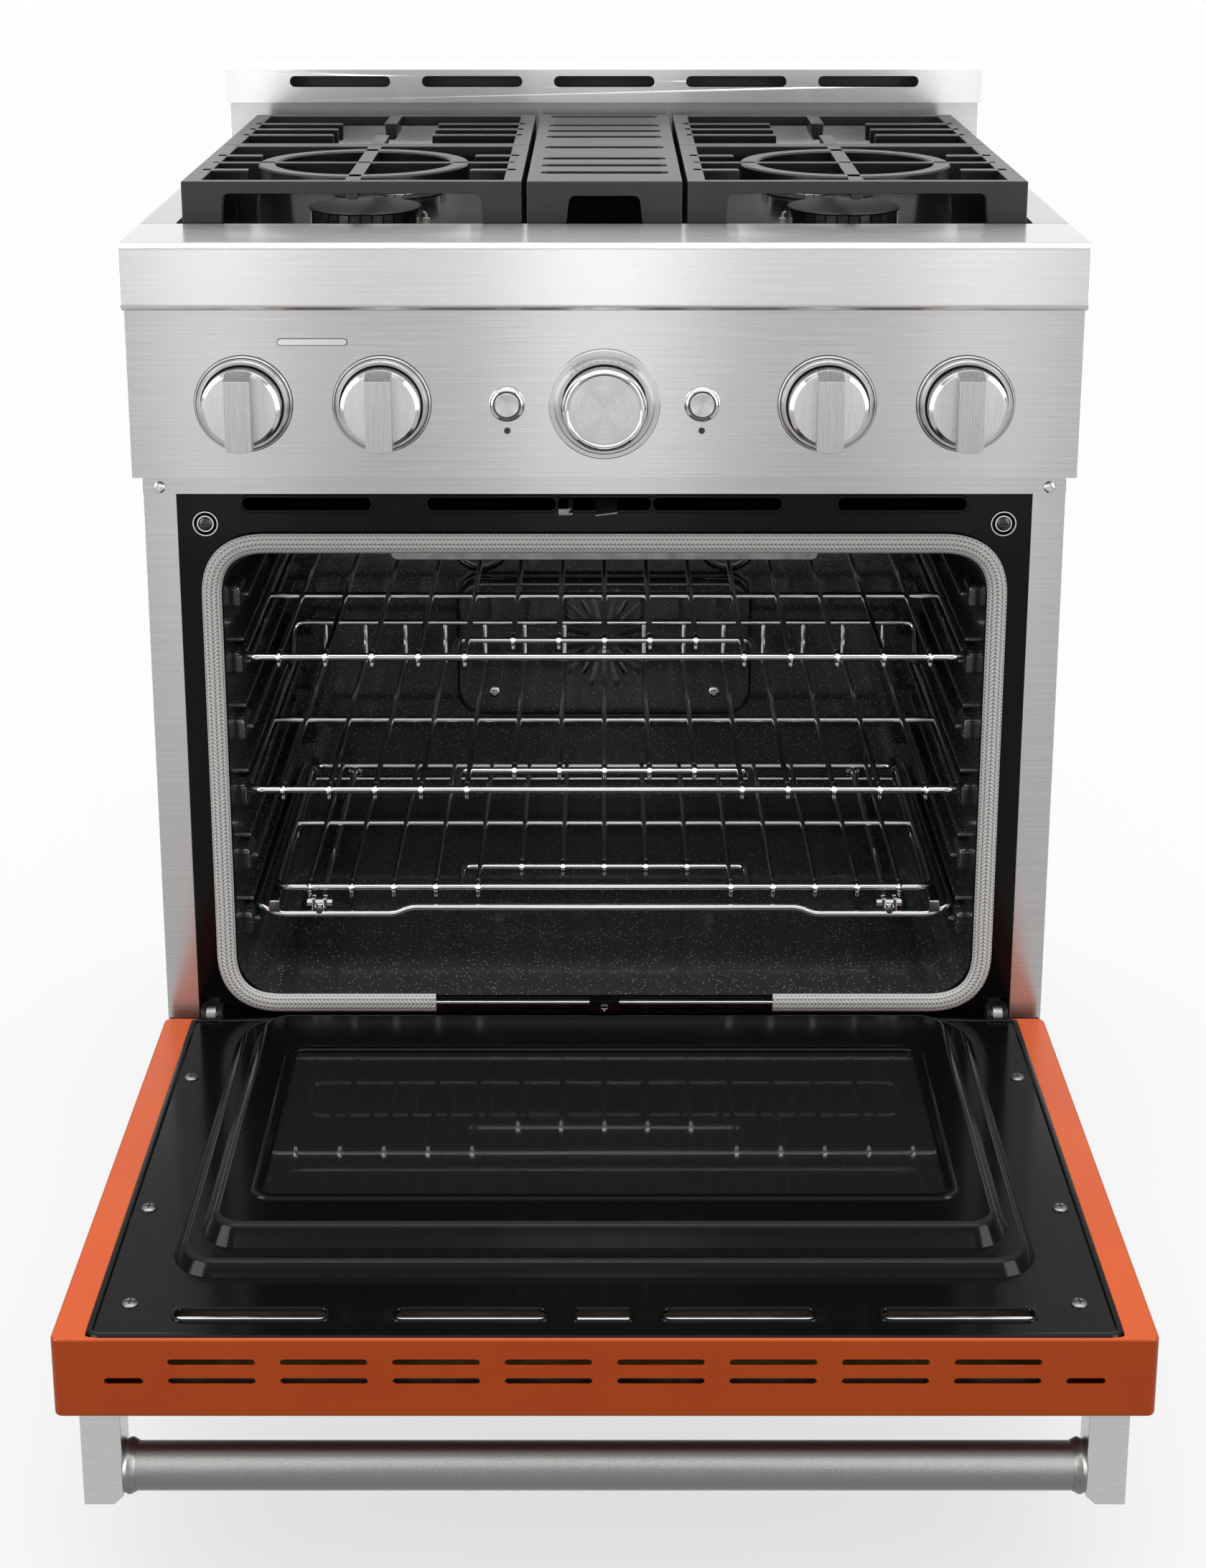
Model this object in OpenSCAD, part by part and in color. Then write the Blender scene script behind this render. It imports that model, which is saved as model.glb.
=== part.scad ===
// Freestanding gas range with an open drop-down oven door.
// +Z is up and the front faces -Y. The origin is under the middle of the whole object, on the floor.

/* [Overall] */
// Width across the side panels
range_w = 759; // [640:1:920]
// Height of the cooktop's rim above the floor
cook_h = 914; // [830:1:1100]
// Depth from the oven's front frame to the back of the cabinet
cabinet_d = 636; // [590:1:780]
// Height of the backguard above the cooktop's rim
guard_h = 75; // [60:1:120]

/* [Cabinet] */
// Sheet metal thickness
sheet = 2; // [1.5:0.1:2.5]
// Height of the base above the floor
leg_h = 100; // [80:1:130]
// Height of the oven's floor above the floor of the room
cavity_z = 246; // [230:1:300]
// Depth of the oven's cavity
cavity_d = 460; // [380:1:480]
// Room between the cavity and the outside of the cabinet, on each side
wall_room = 62.5; // [55:0.5:80]
// Thickness of the oven's insulation
wool_t = 40; // [30:1:45]

/* [Door] */
// Thickness of the door
door_t = 61; // [50:1:70]
// Gap between the closed door and the front frame
door_gap = 8; // [8:0.5:11]
// How far the handle's posts stand off the door
handle_reach = 73; // [55:1:90]
// Diameter of the handle's bar
handle_d = 34; // [24:1:38]

/* [Cooktop] */
// Depth of the pan under the rim
pan_depth = 28; // [22:1:36]
// Height of the grates above the rim
grate_up = 34; // [26:1:44]
// Diameter of a burner's cap
cap_d = 97; // [80:1:108]
// Diameter inside the round opening of a front grate
wok_d = 150; // [124:1:170]

/* [Controls] */
// Height of the control panel
panel_h = 137; // [120:1:165]
// How far the control panel stands in front of the front frame
panel_out = 48; // [44:1:60]
// Diameter of a burner knob
knob_d = 63; // [50:1:68]
// How far a knob stands off the panel
knob_out = 38; // [30:1:46]
// Diameter of the oven dial
dial_d = 67; // [56:1:76]
// Travel of a knob when it is pushed in
push_travel = 3; // [2:0.5:3.2]

/* [Racks] */
// Diameter of a rack's frame wire
rail_d = 6.5; // [5:0.5:7]
// Diameter of a rack's cross wires
wire_d = 5; // [4:0.5:5.5]
// Distance between two rack levels
rack_pitch = 60; // [52:1:62]

/* [Hidden] */
$fn = 48;
e = 1;                       // how far a cutting tool runs past a face
gap = 0.3;                   // clear space between curved faces that only pass each other
fit = 0.03;                  // radial clearance of a shaft in its bore

// colours
steel = "#c9c9c7";
chrome = "#dddddd";
enamel = "#17171a";
iron = "#1c1c1d";
orange = "#d9541e";
alloy = "#a9a9a6";
brass = "#b08d3c";
wool = "#d8cfa8";
fibre = "#8d8d8b";

// heights, from the floor up
half_w = range_w / 2;
panel_top = cook_h - pan_depth - 26;         // the bullnose and the cooktop unit start here
panel_z = panel_top - panel_h;               // lower edge of the control panel
strip_h = 25;
frame_top = panel_z - strip_h;
cavity_top = frame_top - 51;
cavity_h = cavity_top - cavity_z;
cavity_w = range_w - 2 * wall_room;
frame_w = range_w - 55;
frame_z = cavity_z - 21;
frame_h = frame_top - frame_z;
opening_r = 37;

// door, in its own frame: u runs from the hinge to the handle's edge, w runs out of its inner face
hinge_y = -door_gap;
hinge_z = cavity_z - 14;
door_u0 = 6;
door_u1 = panel_z - 5 - hinge_z;
skin_in = sheet;
rim_w = 23.5;                                // width of the skin's strip beside the liner
arm_x = half_w - 39.5;                       // middle of a hinge arm
arm_w = 8;
cheek_in = 5;                                // a receiver's cheeks stand this far from the arm's middle
cheek_out = 9;
cheek_h = 6.5;
pin_d = 8;
arm_len = 170;
open_reach = door_u1 - hinge_y;              // how far the open door reaches in front of the frame
mid_y = (cabinet_d - open_reach) / 2;

// cooktop
pan_z = cook_h - pan_depth;
top_y0 = 41;                                 // the bullnose ends and the cooktop's pan starts
guard_y = cabinet_d - 64;                    // front of the backguard
cap_y = guard_y - 14;                        // front of the backguard's cap
cap_z = cook_h + guard_h - 33;
grate_x1 = half_w - 34.5;
grate_x0 = 67.6;
grate_y0 = 45;
grate_y2 = guard_y - 51;
grate_y1 = (grate_y0 + grate_y2) / 2;
grate_z = cook_h + grate_up;
burner_x = (grate_x0 + grate_x1) / 2;
bar_end = (grate_x1 - grate_x0) / 2 - 6.7;   // bars and fingers end this far from a burner's middle
burner_y = [(grate_y0 + grate_y1) / 2, (grate_y1 + grate_y2) / 2];
bar_h = 20;

// controls
knob_x = [for (f = [-287, -177, 177, 287]) f * range_w / 759];
knob_z = panel_z + 0.445 * panel_h;
button_x = 77.5;
stem_d = 8;
dot_drop = 22;
valve_y = -panel_out + 14;                   // front of the valves' bodies
pipe_y = 6;

// racks and their guides
level_0 = cavity_z + 62;
levels = [for (k = [0 : 5]) level_0 + k * rack_pitch];
rack_x = cavity_w / 2 - 10;                  // middle of a rack's side wire
rack_y0 = 24;
rack_y1 = cavity_d - 83;
rack_gap_x = 115;
guide_d = 14;

// back wall of the cavity
fan_z = cavity_z + 183;
fan_d = 118;
baffle_y = cavity_d - 24;
baffle_x = 150;
lamp_x = 125;
lamp_z = cavity_z + 280;

// inlets at the back
inlet_x = 250;
inlet_z = leg_h + 80;

slot_r = 5.5;                                // half the height of a vent slot
frame_slots = [[-245, 106], [-93, 106], [93, 106], [245, 106]];

// ---- helpers ----

// a block between two corners
module block(x, y, z) translate([x[0], y[0], z[0]]) cube([x[1] - x[0], y[1] - y[0], z[1] - z[0]]);

// round bars along each axis
module rod_x(x0, x1, y, z, d) translate([x0, y, z]) rotate([0, 90, 0]) cylinder(h = x1 - x0, d = d);
module rod_y(y0, y1, x, z, d) translate([x, y0, z]) rotate([-90, 0, 0]) cylinder(h = y1 - y0, d = d);
module rod_z(z0, z1, x, y, d) translate([x, y, z0]) cylinder(h = z1 - z0, d = d);

// an outline pushed along Y (drawn in X and Z), along Z (X and Y) or along X (Y and Z)
module along_y(y0, y1) translate([0, y1, 0]) rotate([90, 0, 0]) linear_extrude(y1 - y0) children();
module along_z(z0, z1) translate([0, 0, z0]) linear_extrude(z1 - z0) children();
module along_x(x0, x1) translate([x0, 0, 0]) rotate([90, 0, 90]) linear_extrude(x1 - x0) children();

// the points of a rectangle from a to b with corners of radius r
function arc(c, r, a0, n = 8) = [for (i = [0 : n]) c + r * [cos(a0 + 90 * i / n), sin(a0 + 90 * i / n)]];
function round_rect(a, b, r) = concat(arc([b[0] - r, b[1] - r], r, 0), arc([a[0] + r, b[1] - r], r, 90),
                                      arc([a[0] + r, a[1] + r], r, 180), arc([b[0] - r, a[1] + r], r, 270));
module rounded(a, b, r) polygon(round_rect(a, b, r));

// both sides of the range
module both() for (s = [0, 1]) mirror([s, 0, 0]) children();

// everything is drawn with the front frame at Y = 0, then shifted to the origin
module place() translate([0, -mid_y, 0]) children();

// the open door: local X, u and w become X, -Y and Z
module door_place() place() translate([0, hinge_y, hinge_z]) mirror([0, 1, 0]) children();

// a row of upright round-ended slots, cut through a wall that faces Y
module slots_y(list, z, r, y0, y1)
    for (s = list) along_y(y0, y1) rounded([s[0] - s[1] / 2, z - r], [s[0] + s[1] / 2, z + r], r - 0.01);

// ---- cabinet ----

module side_panels() color(steel) place() both() {
    block([half_w - sheet, half_w], [0, cabinet_d], [leg_h, panel_top]);
    block([frame_w / 2, half_w - sheet], [0, sheet], [frame_z, frame_top]);
}

module back_panel() color(alloy) place() difference() {
    block([-half_w + sheet, half_w - sheet], [cabinet_d - sheet, cabinet_d], [leg_h + 10, panel_top]);
    rod_y(cabinet_d - sheet - e, cabinet_d + e, -inlet_x, inlet_z, 44);
    rod_y(cabinet_d - sheet - e, cabinet_d + e, inlet_x, inlet_z, 24);
    for (i = [-3 : 3], k = [0 : 5])
        block([i * 70 - 25, i * 70 + 25], [cabinet_d - sheet - e, cabinet_d + e],
              [panel_top - 70 - k * 14, panel_top - 64 - k * 14]);
}

module base_frame() color(enamel) place() difference() {
    block([-half_w + sheet, half_w - sheet], [sheet, cabinet_d - sheet], [leg_h, frame_z]);
    block([-half_w + 2 * sheet, half_w - 2 * sheet], [2 * sheet, cabinet_d], [leg_h + 10, frame_z + e]);
    block([-half_w + 20, half_w - 20], [30, cabinet_d - 30], [leg_h - e, leg_h + 8]);
}

module leveling_legs() color(alloy) place()
    for (s = [-1, 1], y = [60, cabinet_d - 60]) {
        rod_z(0, 14, s * (half_w - 45), y, 48);
        rod_z(14, leg_h, s * (half_w - 45), y, 38);
    }

module front_frame() color(enamel) place() difference() {
    union() {
        block([-frame_w / 2, frame_w / 2], [0, sheet], [frame_z, frame_top]);
        block([-frame_w / 2, frame_w / 2], [sheet, 44], [frame_top - sheet, frame_top]);
    }
    along_y(-e, sheet + e) rounded([-cavity_w / 2, cavity_z], [cavity_w / 2, cavity_top], opening_r);
    slots_y(concat(frame_slots, [[0, 77]]), frame_top - 9.5, slot_r, -e, sheet + e);
    both() block([arm_x - cheek_out - 0.7, arm_x + cheek_out + 0.7], [-e, sheet + e],
                 [hinge_z - 12, hinge_z + 12]);
}

module oven_liner() color(enamel) place() difference() {
    union() {
        along_y(sheet, cavity_d)
            rounded([-cavity_w / 2 - sheet, cavity_z - sheet], [cavity_w / 2 + sheet, cavity_top + sheet],
                    opening_r + sheet);
        along_y(cavity_d, cavity_d + sheet)
            rounded([-cavity_w / 2 - sheet, cavity_z - sheet], [cavity_w / 2 + sheet, cavity_top + sheet],
                    opening_r + sheet);
    }
    along_y(sheet - e, cavity_d) rounded([-cavity_w / 2, cavity_z], [cavity_w / 2, cavity_top], opening_r);
    rod_y(cavity_d - e, cavity_d + sheet + e, 0, fan_z, 30);
}

module oven_insulation() color(wool) place() difference() {
    block([-cavity_w / 2 - sheet - wool_t, cavity_w / 2 + sheet + wool_t], [46, cavity_d + sheet + wool_t],
          [cavity_z - sheet - wool_t + 21 + e, cavity_top + sheet + wool_t]);
    along_y(46 - e, cavity_d + sheet)
        rounded([-cavity_w / 2 - sheet, cavity_z - sheet], [cavity_w / 2 + sheet, cavity_top + sheet],
                opening_r + sheet);
    rod_y(cavity_d, cavity_d + sheet + wool_t + e, 0, fan_z, 100);
}

gasket_w = 17;
gasket_t = door_gap - 0.5;
clip_x = 152;
module gasket_ring() difference() {
    along_y(-gasket_t, 0)
        rounded([-cavity_w / 2 - gasket_w, cavity_z - 13], [cavity_w / 2 + gasket_w, cavity_top + gasket_w],
                opening_r + gasket_w);
    along_y(-gasket_t - e, e) rounded([-cavity_w / 2, cavity_z], [cavity_w / 2, cavity_top], opening_r);
}
module door_gasket() color(fibre) place() difference() {
    gasket_ring();
    block([-clip_x, clip_x], [-gasket_t - e, e], [cavity_z - 20, cavity_z + e]);
}

module gasket_clip() color(steel) place() {
    block([-clip_x, clip_x], [-2, 0], [cavity_z - 15, cavity_z - 3]);
    block([-13, 13], [-5, -2], [cavity_z - 15, cavity_z - 3]);
}

module rack_guides() color(enamel) place() both() for (z = levels) {
    block([cavity_w / 2 - guide_d, cavity_w / 2], [40, cavity_d - 40],
          [z - rail_d / 2 - gap - 8, z - rail_d / 2 - gap]);
    if (z < cavity_top - 50)
        block([cavity_w / 2 - guide_d, cavity_w / 2], [60, cavity_d - 60],
              [z + rail_d / 2 + 4, z + rail_d / 2 + 12]);
}

module fan_baffle() color(enamel) place() difference() {
    block([-baffle_x, baffle_x], [baffle_y, cavity_d], [fan_z - 84, fan_z + 62]);
    block([-baffle_x + sheet, baffle_x - sheet], [baffle_y + sheet, cavity_d + e],
          [fan_z - 84 + sheet, fan_z + 62 - sheet]);
    for (a = [0 : 15 : 345])
        translate([0, 0, fan_z]) rotate([0, a, 0])
            block([fan_d / 2 - 34, fan_d / 2], [baffle_y - e, baffle_y + sheet + e], [-2.2, 2.2]);
    for (s = [-1, 1]) rod_y(baffle_y - e, baffle_y + sheet + e, s * 112, cavity_z + 126, 5);
}

module fan_motor() color(alloy) place() difference() {
    union() {
        rod_y(cavity_d + sheet, cavity_d + sheet + 70, 0, fan_z, 90);
        rod_y(cavity_d + sheet + 70, cavity_d + sheet + 82, 0, fan_z, 40);
    }
    rod_y(cavity_d + sheet - e, cavity_d + sheet + 62, 0, fan_z, stem_d + 2 * fit);
}

module fan_wheel() color(steel) place() {
    rod_y(baffle_y + 6, cavity_d + sheet + 60, 0, fan_z, stem_d);
    rod_y(cavity_d - 6, cavity_d - 4, 0, fan_z, fan_d);
    for (a = [0 : 30 : 330]) translate([0, 0, fan_z]) rotate([0, a, 0])
        block([fan_d / 2 - 30, fan_d / 2 - 1], [cavity_d - 14, cavity_d - 5], [-1, 1]);
}

module oven_lamps() color(chrome) place() for (s = [-1, 1]) {
    rod_y(cavity_d - 4, cavity_d, s * lamp_x, lamp_z, 64);
    rod_y(cavity_d - 14, cavity_d - 4, s * lamp_x, lamp_z, 50);
}

broil_x = 190;
broil_y0 = 150;
module broil_burner() color(steel) place() difference() {
    along_y(broil_y0, cavity_d - 70)
        rounded([-broil_x, cavity_top - 51], [broil_x, cavity_top], 6);
    block([-broil_x + 4, broil_x - 4], [broil_y0 + 4, cavity_d - 74], [cavity_top - 52, cavity_top - 6]);
}

// ---- front ----

module control_panel() color(steel) place() difference() {
    block([-half_w + 1, half_w - 1], [-panel_out, 0], [panel_z, panel_top]);
    block([-half_w + 1 + sheet, half_w - 1 - sheet], [-panel_out + sheet, e],
          [panel_z + sheet, panel_top + e]);
    block([-half_w + 40, half_w - 40], [-20, e], [panel_z - e, panel_z + sheet + e]);
    for (x = concat(knob_x, [0])) rod_y(-panel_out - e, -panel_out + sheet + e, x, knob_z, 12);
    for (s = [-1, 1]) {
        rod_y(-panel_out - e, -panel_out + sheet + e, s * button_x, knob_z, 20.6);
        rod_y(-panel_out - e, -panel_out + sheet + e, s * button_x, knob_z - dot_drop, 5);
    }
}

// the cross-section of the bullnose, t inside its outer face
nose_r = 6;
nose_y = -panel_out - 9;
module nose_outline(t) polygon(concat(
    arc([nose_y + nose_r, cook_h - nose_r], nose_r - t, 90),
    arc([nose_y + nose_r, panel_top + nose_r], nose_r - t, 180),
    [[top_y0 - t, panel_top + t], [top_y0 - t, cook_h - t]]));
module bullnose() color(steel) place() difference() {
    along_x(-half_w, half_w) nose_outline(0);
    along_x(-half_w + sheet, half_w - sheet) nose_outline(sheet);
}

module trim_strip() color(steel) place() {
    difference() {
        block([-half_w + 1, half_w - 1], [-4, 0], [frame_top, panel_z]);
        both() rod_y(-4 - e, e, half_w - 14.5, frame_top + 6, 4);
    }
    block([-half_w + sheet, half_w - sheet], [0, 44], [panel_z - sheet, panel_z]);
}

frame_screw_x = cavity_w / 2 + 12;
module frame_screws() color(chrome) place() both() {
    rod_y(-6, -4, half_w - 14.5, frame_top + 6, 9);
    rod_y(-4, 0, half_w - 14.5, frame_top + 6, 4);
    rod_y(-3, 0, frame_screw_x, frame_top - 26, 13.7);
    rod_y(baffle_y - 3, baffle_y, 112, cavity_z + 126, 11);
    rod_y(baffle_y, cavity_d, 112, cavity_z + 126, 5);
}

ring_t = 8;                                  // thickness of a knob's and the dial's ring
module control_bezels() color(chrome) place() {
    for (x = knob_x) difference() {
        union() {
            rod_y(-panel_out - 3, -panel_out, x, knob_z, knob_d + 15);
            rod_y(-panel_out - ring_t, -panel_out - 3, x, knob_z, knob_d + 10);
        }
        rod_y(-panel_out - ring_t - e, -panel_out - 3, x, knob_z, knob_d + 3);
        rod_y(-panel_out - ring_t - e, -panel_out + e, x, knob_z, 12);
    }
    for (s = [-1, 1]) difference() {
        rod_y(-panel_out - 5, -panel_out, s * button_x, knob_z, 29);
        rod_y(-panel_out - 6, -panel_out + e, s * button_x, knob_z, 20.6);
    }
}

module dial_bezel() color(chrome) place() difference() {
    union() {
        rod_y(-panel_out - 4, -panel_out, 0, knob_z, dial_d + 22);
        rod_y(-panel_out - 12, -panel_out - 4, 0, knob_z, dial_d + 11);
    }
    rod_y(-panel_out - 12 - e, -panel_out - 4, 0, knob_z, dial_d + 1);
    rod_y(-panel_out - 12 - e, -panel_out + e, 0, knob_z, 12);
}

module switch_blocks() color(enamel) place() for (s = [-1, 1]) difference() {
    union() {
        block([s * button_x - 16, s * button_x + 16], [-panel_out + sheet, -panel_out + 30],
              [knob_z - 34, knob_z + 16]);
        rod_y(-panel_out - 0.8, -panel_out + sheet, s * button_x, knob_z - dot_drop, 5);
    }
    rod_y(-panel_out, -panel_out + 20, s * button_x, knob_z, 20.6);
    rod_y(-panel_out + 19, -panel_out + 28, s * button_x, knob_z, 6 + 2 * fit);
}

module badge_plate() color(chrome) place()
    block([-231 - 27.3, -231 + 27.3], [-panel_out - 0.8, -panel_out], [panel_top - 28.4, panel_top - 23.6]);

module gas_manifold() color(brass) place() difference() {
    union() {
        rod_x(-half_w + 20, half_w - 20, pipe_y, knob_z, 22);
        for (x = knob_x) rod_y(valve_y, pipe_y, x, knob_z, 28);
        rod_y(valve_y, pipe_y, 0, knob_z, 34);
    }
    for (x = concat(knob_x, [0])) rod_y(valve_y - e, valve_y + 22, x, knob_z, stem_d + 2 * fit);
}

// ---- moving controls ----

stem_end = valve_y + 22 - push_travel - 1;
knob_back = -panel_out - 3 - push_travel - 0.6;
stem_tip = -panel_out - knob_out + 10;
module stem(i) color(chrome) place() rod_y(stem_tip, stem_end, knob_x[i], knob_z, stem_d);

module knob(i) color(chrome) place() difference() {
    union() {
        rod_y(-panel_out - knob_out + 16, knob_back, knob_x[i], knob_z, knob_d);
        intersection() {
            block([knob_x[i] - 10.5, knob_x[i] + 10.5], [-panel_out - knob_out, -panel_out - knob_out + 16],
                  [knob_z - knob_d / 2, knob_z + knob_d / 2]);
            rod_y(-panel_out - knob_out, -panel_out - knob_out + 16, knob_x[i], knob_z, knob_d);
        }
    }
    rod_y(stem_tip, knob_back + e, knob_x[i], knob_z, stem_d + 2 * fit);
}

module oven_dial() color(steel) place() {
    rod_y(-panel_out - 26, -panel_out - 5, 0, knob_z, dial_d);
    rod_y(-panel_out - 5, valve_y + 20, 0, knob_z, stem_d);
}

module button(s) color(steel) place() {
    rod_y(-panel_out - 7, -panel_out + 12, s * button_x, knob_z, 20);
    rod_y(-panel_out + 12, -panel_out + 24, s * button_x, knob_z, 6);
}

// ---- backguard and cooktop ----

module backguard() color(steel) place() difference() {
    block([-half_w, half_w], [guard_y, cabinet_d], [panel_top, cap_z]);
    block([-half_w + sheet, half_w - sheet], [guard_y + sheet, cabinet_d - sheet],
          [panel_top - e, cap_z + e]);
}

module backguard_cap() color(steel) place() difference() {
    block([-half_w, half_w], [cap_y, cabinet_d], [cap_z, cook_h + guard_h]);
    block([-half_w + sheet, half_w - sheet], [cap_y + sheet, cabinet_d - sheet],
          [cap_z - e, cook_h + guard_h - sheet]);
    slots_y([for (i = [-2 : 2]) [i * 132.8 * range_w / 759, 101]], cap_z + 21, slot_r,
            cap_y - e, cap_y + sheet + e);
}

pan_x = half_w - 29.5;
pan_y0 = top_y0 + 2;
pan_y1 = guard_y - 14;
module cooktop_pan() color(steel) place() difference() {
    block([-half_w, half_w], [top_y0, guard_y], [panel_top, cook_h]);
    along_z(pan_z, cook_h + e) rounded([-pan_x, pan_y0], [pan_x, pan_y1], 4);
    block([-half_w + sheet, half_w - sheet], [top_y0 + sheet, guard_y - sheet],
          [panel_top - e, pan_z - sheet]);
    both() block([pan_x + sheet, half_w - sheet], [top_y0 + sheet, guard_y - sheet],
                 [pan_z - sheet - e, cook_h - sheet]);
    for (s = [-1, 1], y = burner_y) rod_z(pan_z - sheet - e, pan_z + e, s * burner_x, y, 50);
}

head_z = cook_h - 10;                        // top of a flame ring, under its cap
module burner_heads() color(alloy) place() for (s = [-1, 1], y = burner_y) {
    difference() {
        union() {
            rod_z(pan_z, pan_z + 5, s * burner_x, y, cap_d + 10);
            rod_z(pan_z + 5, head_z, s * burner_x, y, cap_d - 3);
            rod_z(pan_z - 18, pan_z, s * burner_x, y, 50);
        }
        rod_z(pan_z - 19, head_z + e, s * burner_x, y, 40);
        for (a = [0 : 15 : 165]) translate([s * burner_x, y, head_z - 7]) rotate([0, 0, a + 7.5])
            block([-cap_d, cap_d], [-1, 1], [0, 4]);
    }
    // spark electrode beside the flame ring
    rod_z(pan_z, head_z - 1, s * burner_x + cap_d / 2 + 9, y, 6);
}

module burner_caps() color(iron) place() for (s = [-1, 1], y = burner_y)
    rod_z(head_z, head_z + 7, s * burner_x, y, cap_d);

// the frame and feet that every burner grate has, between two Y places
module grate_frame(s, y0, y1) difference() {
    block([s > 0 ? grate_x0 : -grate_x1, s > 0 ? grate_x1 : -grate_x0], [y0, y1], [pan_z, grate_z]);
    block([s > 0 ? grate_x0 + 16 : -grate_x1 + 16, s > 0 ? grate_x1 - 16 : -grate_x0 - 16],
          [y0 + 10, y1 - 10], [pan_z - e, grate_z + e]);
    block([s > 0 ? grate_x0 + 40 : -grate_x1 + 40, s > 0 ? grate_x1 - 40 : -grate_x0 - 40],
          [y0 - e, y1 + e], [pan_z - e, grate_z - bar_h]);
    block([s > 0 ? grate_x0 - e : -grate_x1 - e, s > 0 ? grate_x1 + e : -grate_x0 + e],
          [y0 + 34, y1 - 34], [pan_z - e, grate_z - bar_h]);
}

// a bar of a grate along X or Y
module grate_bar(x, y) block(x, y, [grate_z - bar_h + 4, grate_z]);

module grates_front() color(iron) place() for (s = [-1, 1]) {
    grate_frame(s, grate_y0, grate_y1 - gap);
    difference() {
        rod_z(grate_z - bar_h + 4, grate_z, s * burner_x, burner_y[0], wok_d + 30);
        rod_z(grate_z - bar_h, grate_z + e, s * burner_x, burner_y[0], wok_d);
    }
    grate_bar([s * burner_x - bar_end, s * burner_x + bar_end], [burner_y[0] - 6.5, burner_y[0] + 6.5]);
    grate_bar([s * burner_x - 6.5, s * burner_x + 6.5], [grate_y0 + 9, grate_y1 - gap - 9]);
    for (t = [0, 1], d = [-46, 46]) translate([s * burner_x, 0, 0]) mirror([t, 0, 0])
        grate_bar([wok_d / 2 + 18, bar_end], [burner_y[0] + d - 6, burner_y[0] + d + 6]);
}

module grates_rear() color(iron) place() for (s = [-1, 1]) {
    grate_frame(s, grate_y1 + gap, grate_y2);
    for (t = [0, 1], d = [-44, 0, 44]) translate([s * burner_x, 0, 0]) mirror([t, 0, 0])
        grate_bar([46, bar_end], [burner_y[1] + d - 6, burner_y[1] + d + 6]);
    grate_bar([s * burner_x - 6.5, s * burner_x + 6.5], [grate_y1 + gap + 9, burner_y[1] - 46]);
    grate_bar([s * burner_x - 6.5, s * burner_x + 6.5], [burner_y[1] + 46, grate_y2 - 9]);
}

center_x = grate_x0 - 4.1;
// middles of the centre grate's slots behind its front edge: two groups of three, and one after each
slot_step = (grate_y2 - grate_y0) * 45 / 476;
center_slots = [for (k = [0, 1, 2, 3.7, 5.4, 6.4, 7.4, 9]) (k + 1.22) * slot_step];
module grate_center() color(iron) place() difference() {
    block([-center_x, center_x], [grate_y0, grate_y2], [pan_z, grate_z]);
    block([-center_x + 12, center_x - 12], [grate_y0 + 10, grate_y2 - 10], [pan_z - e, grate_z - 14]);
    block([-center_x - e, center_x + e], [grate_y0 + 40, grate_y2 - 40], [pan_z - e, grate_z - bar_h]);
    block([-30, 30], [grate_y0 - e, grate_y2 + e], [pan_z - e, grate_z - 14]);
    for (d = center_slots)
        along_z(grate_z - 20, grate_z + e)
            rounded([-53, grate_y0 + d - 8], [53, grate_y0 + d + 8], 7);
}

// ---- gas and power inlets ----

module gas_regulator() color(alloy) place() {
    difference() {
        union() {
            block([-inlet_x - 30, -inlet_x + 30], [cabinet_d - 110, cabinet_d - 40],
                  [leg_h + 10, inlet_z + 25]);
            rod_y(cabinet_d - 40, cabinet_d, -inlet_x, inlet_z, 32);
        }
        rod_y(cabinet_d - 70, cabinet_d + e, -inlet_x, inlet_z, 20);
    }
}

module power_gland() color(enamel) place() difference() {
    union() {
        rod_y(cabinet_d - 14, cabinet_d - sheet, inlet_x, inlet_z, 30);
        rod_y(cabinet_d - sheet, cabinet_d, inlet_x, inlet_z, 24);
    }
    rod_y(cabinet_d - 15, cabinet_d + e, inlet_x, inlet_z, 10);
}

// ---- hinges and latch ----

module hinge_receivers() color(steel) place() both() {
    for (x = [[arm_x - cheek_out, arm_x - cheek_in], [arm_x + cheek_in, arm_x + cheek_out]])
        block(x, [hinge_y - 5, 44], [hinge_z - cheek_h, hinge_z + cheek_h]);
    block([arm_x - cheek_in, arm_x + cheek_in], [10, 44], [hinge_z - cheek_h, hinge_z + cheek_h]);
    rod_x(arm_x - cheek_in, arm_x + cheek_in, hinge_y, hinge_z, pin_d);
}

module hinge_arms() color(steel) door_place() both() difference() {
    union() {
        rod_x(arm_x - arm_w / 2, arm_x + arm_w / 2, 0, 0, 16);
        block([arm_x - arm_w / 2, arm_x + arm_w / 2], [0, arm_len], [-22, -sheet]);
    }
    rod_x(arm_x - arm_w, arm_x + arm_w, 0, 0, pin_d + 2 * fit);
}

latch_z = frame_top - 9.5;
module latch_hooks() color(steel) place() {
    block([-30, -26], [-22, 40], [latch_z - 4.5, latch_z + 4.5]);
    block([-38, -30], [-22, -18], [latch_z - 4.5, latch_z + 4.5]);
    block([-8, 10], [-20, 40], [latch_z - 4.5, latch_z - 2.5]);
    block([-30, 10], [40, 44], [latch_z - 4.5, latch_z + 4.5]);
}

// ---- racks ----

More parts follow.
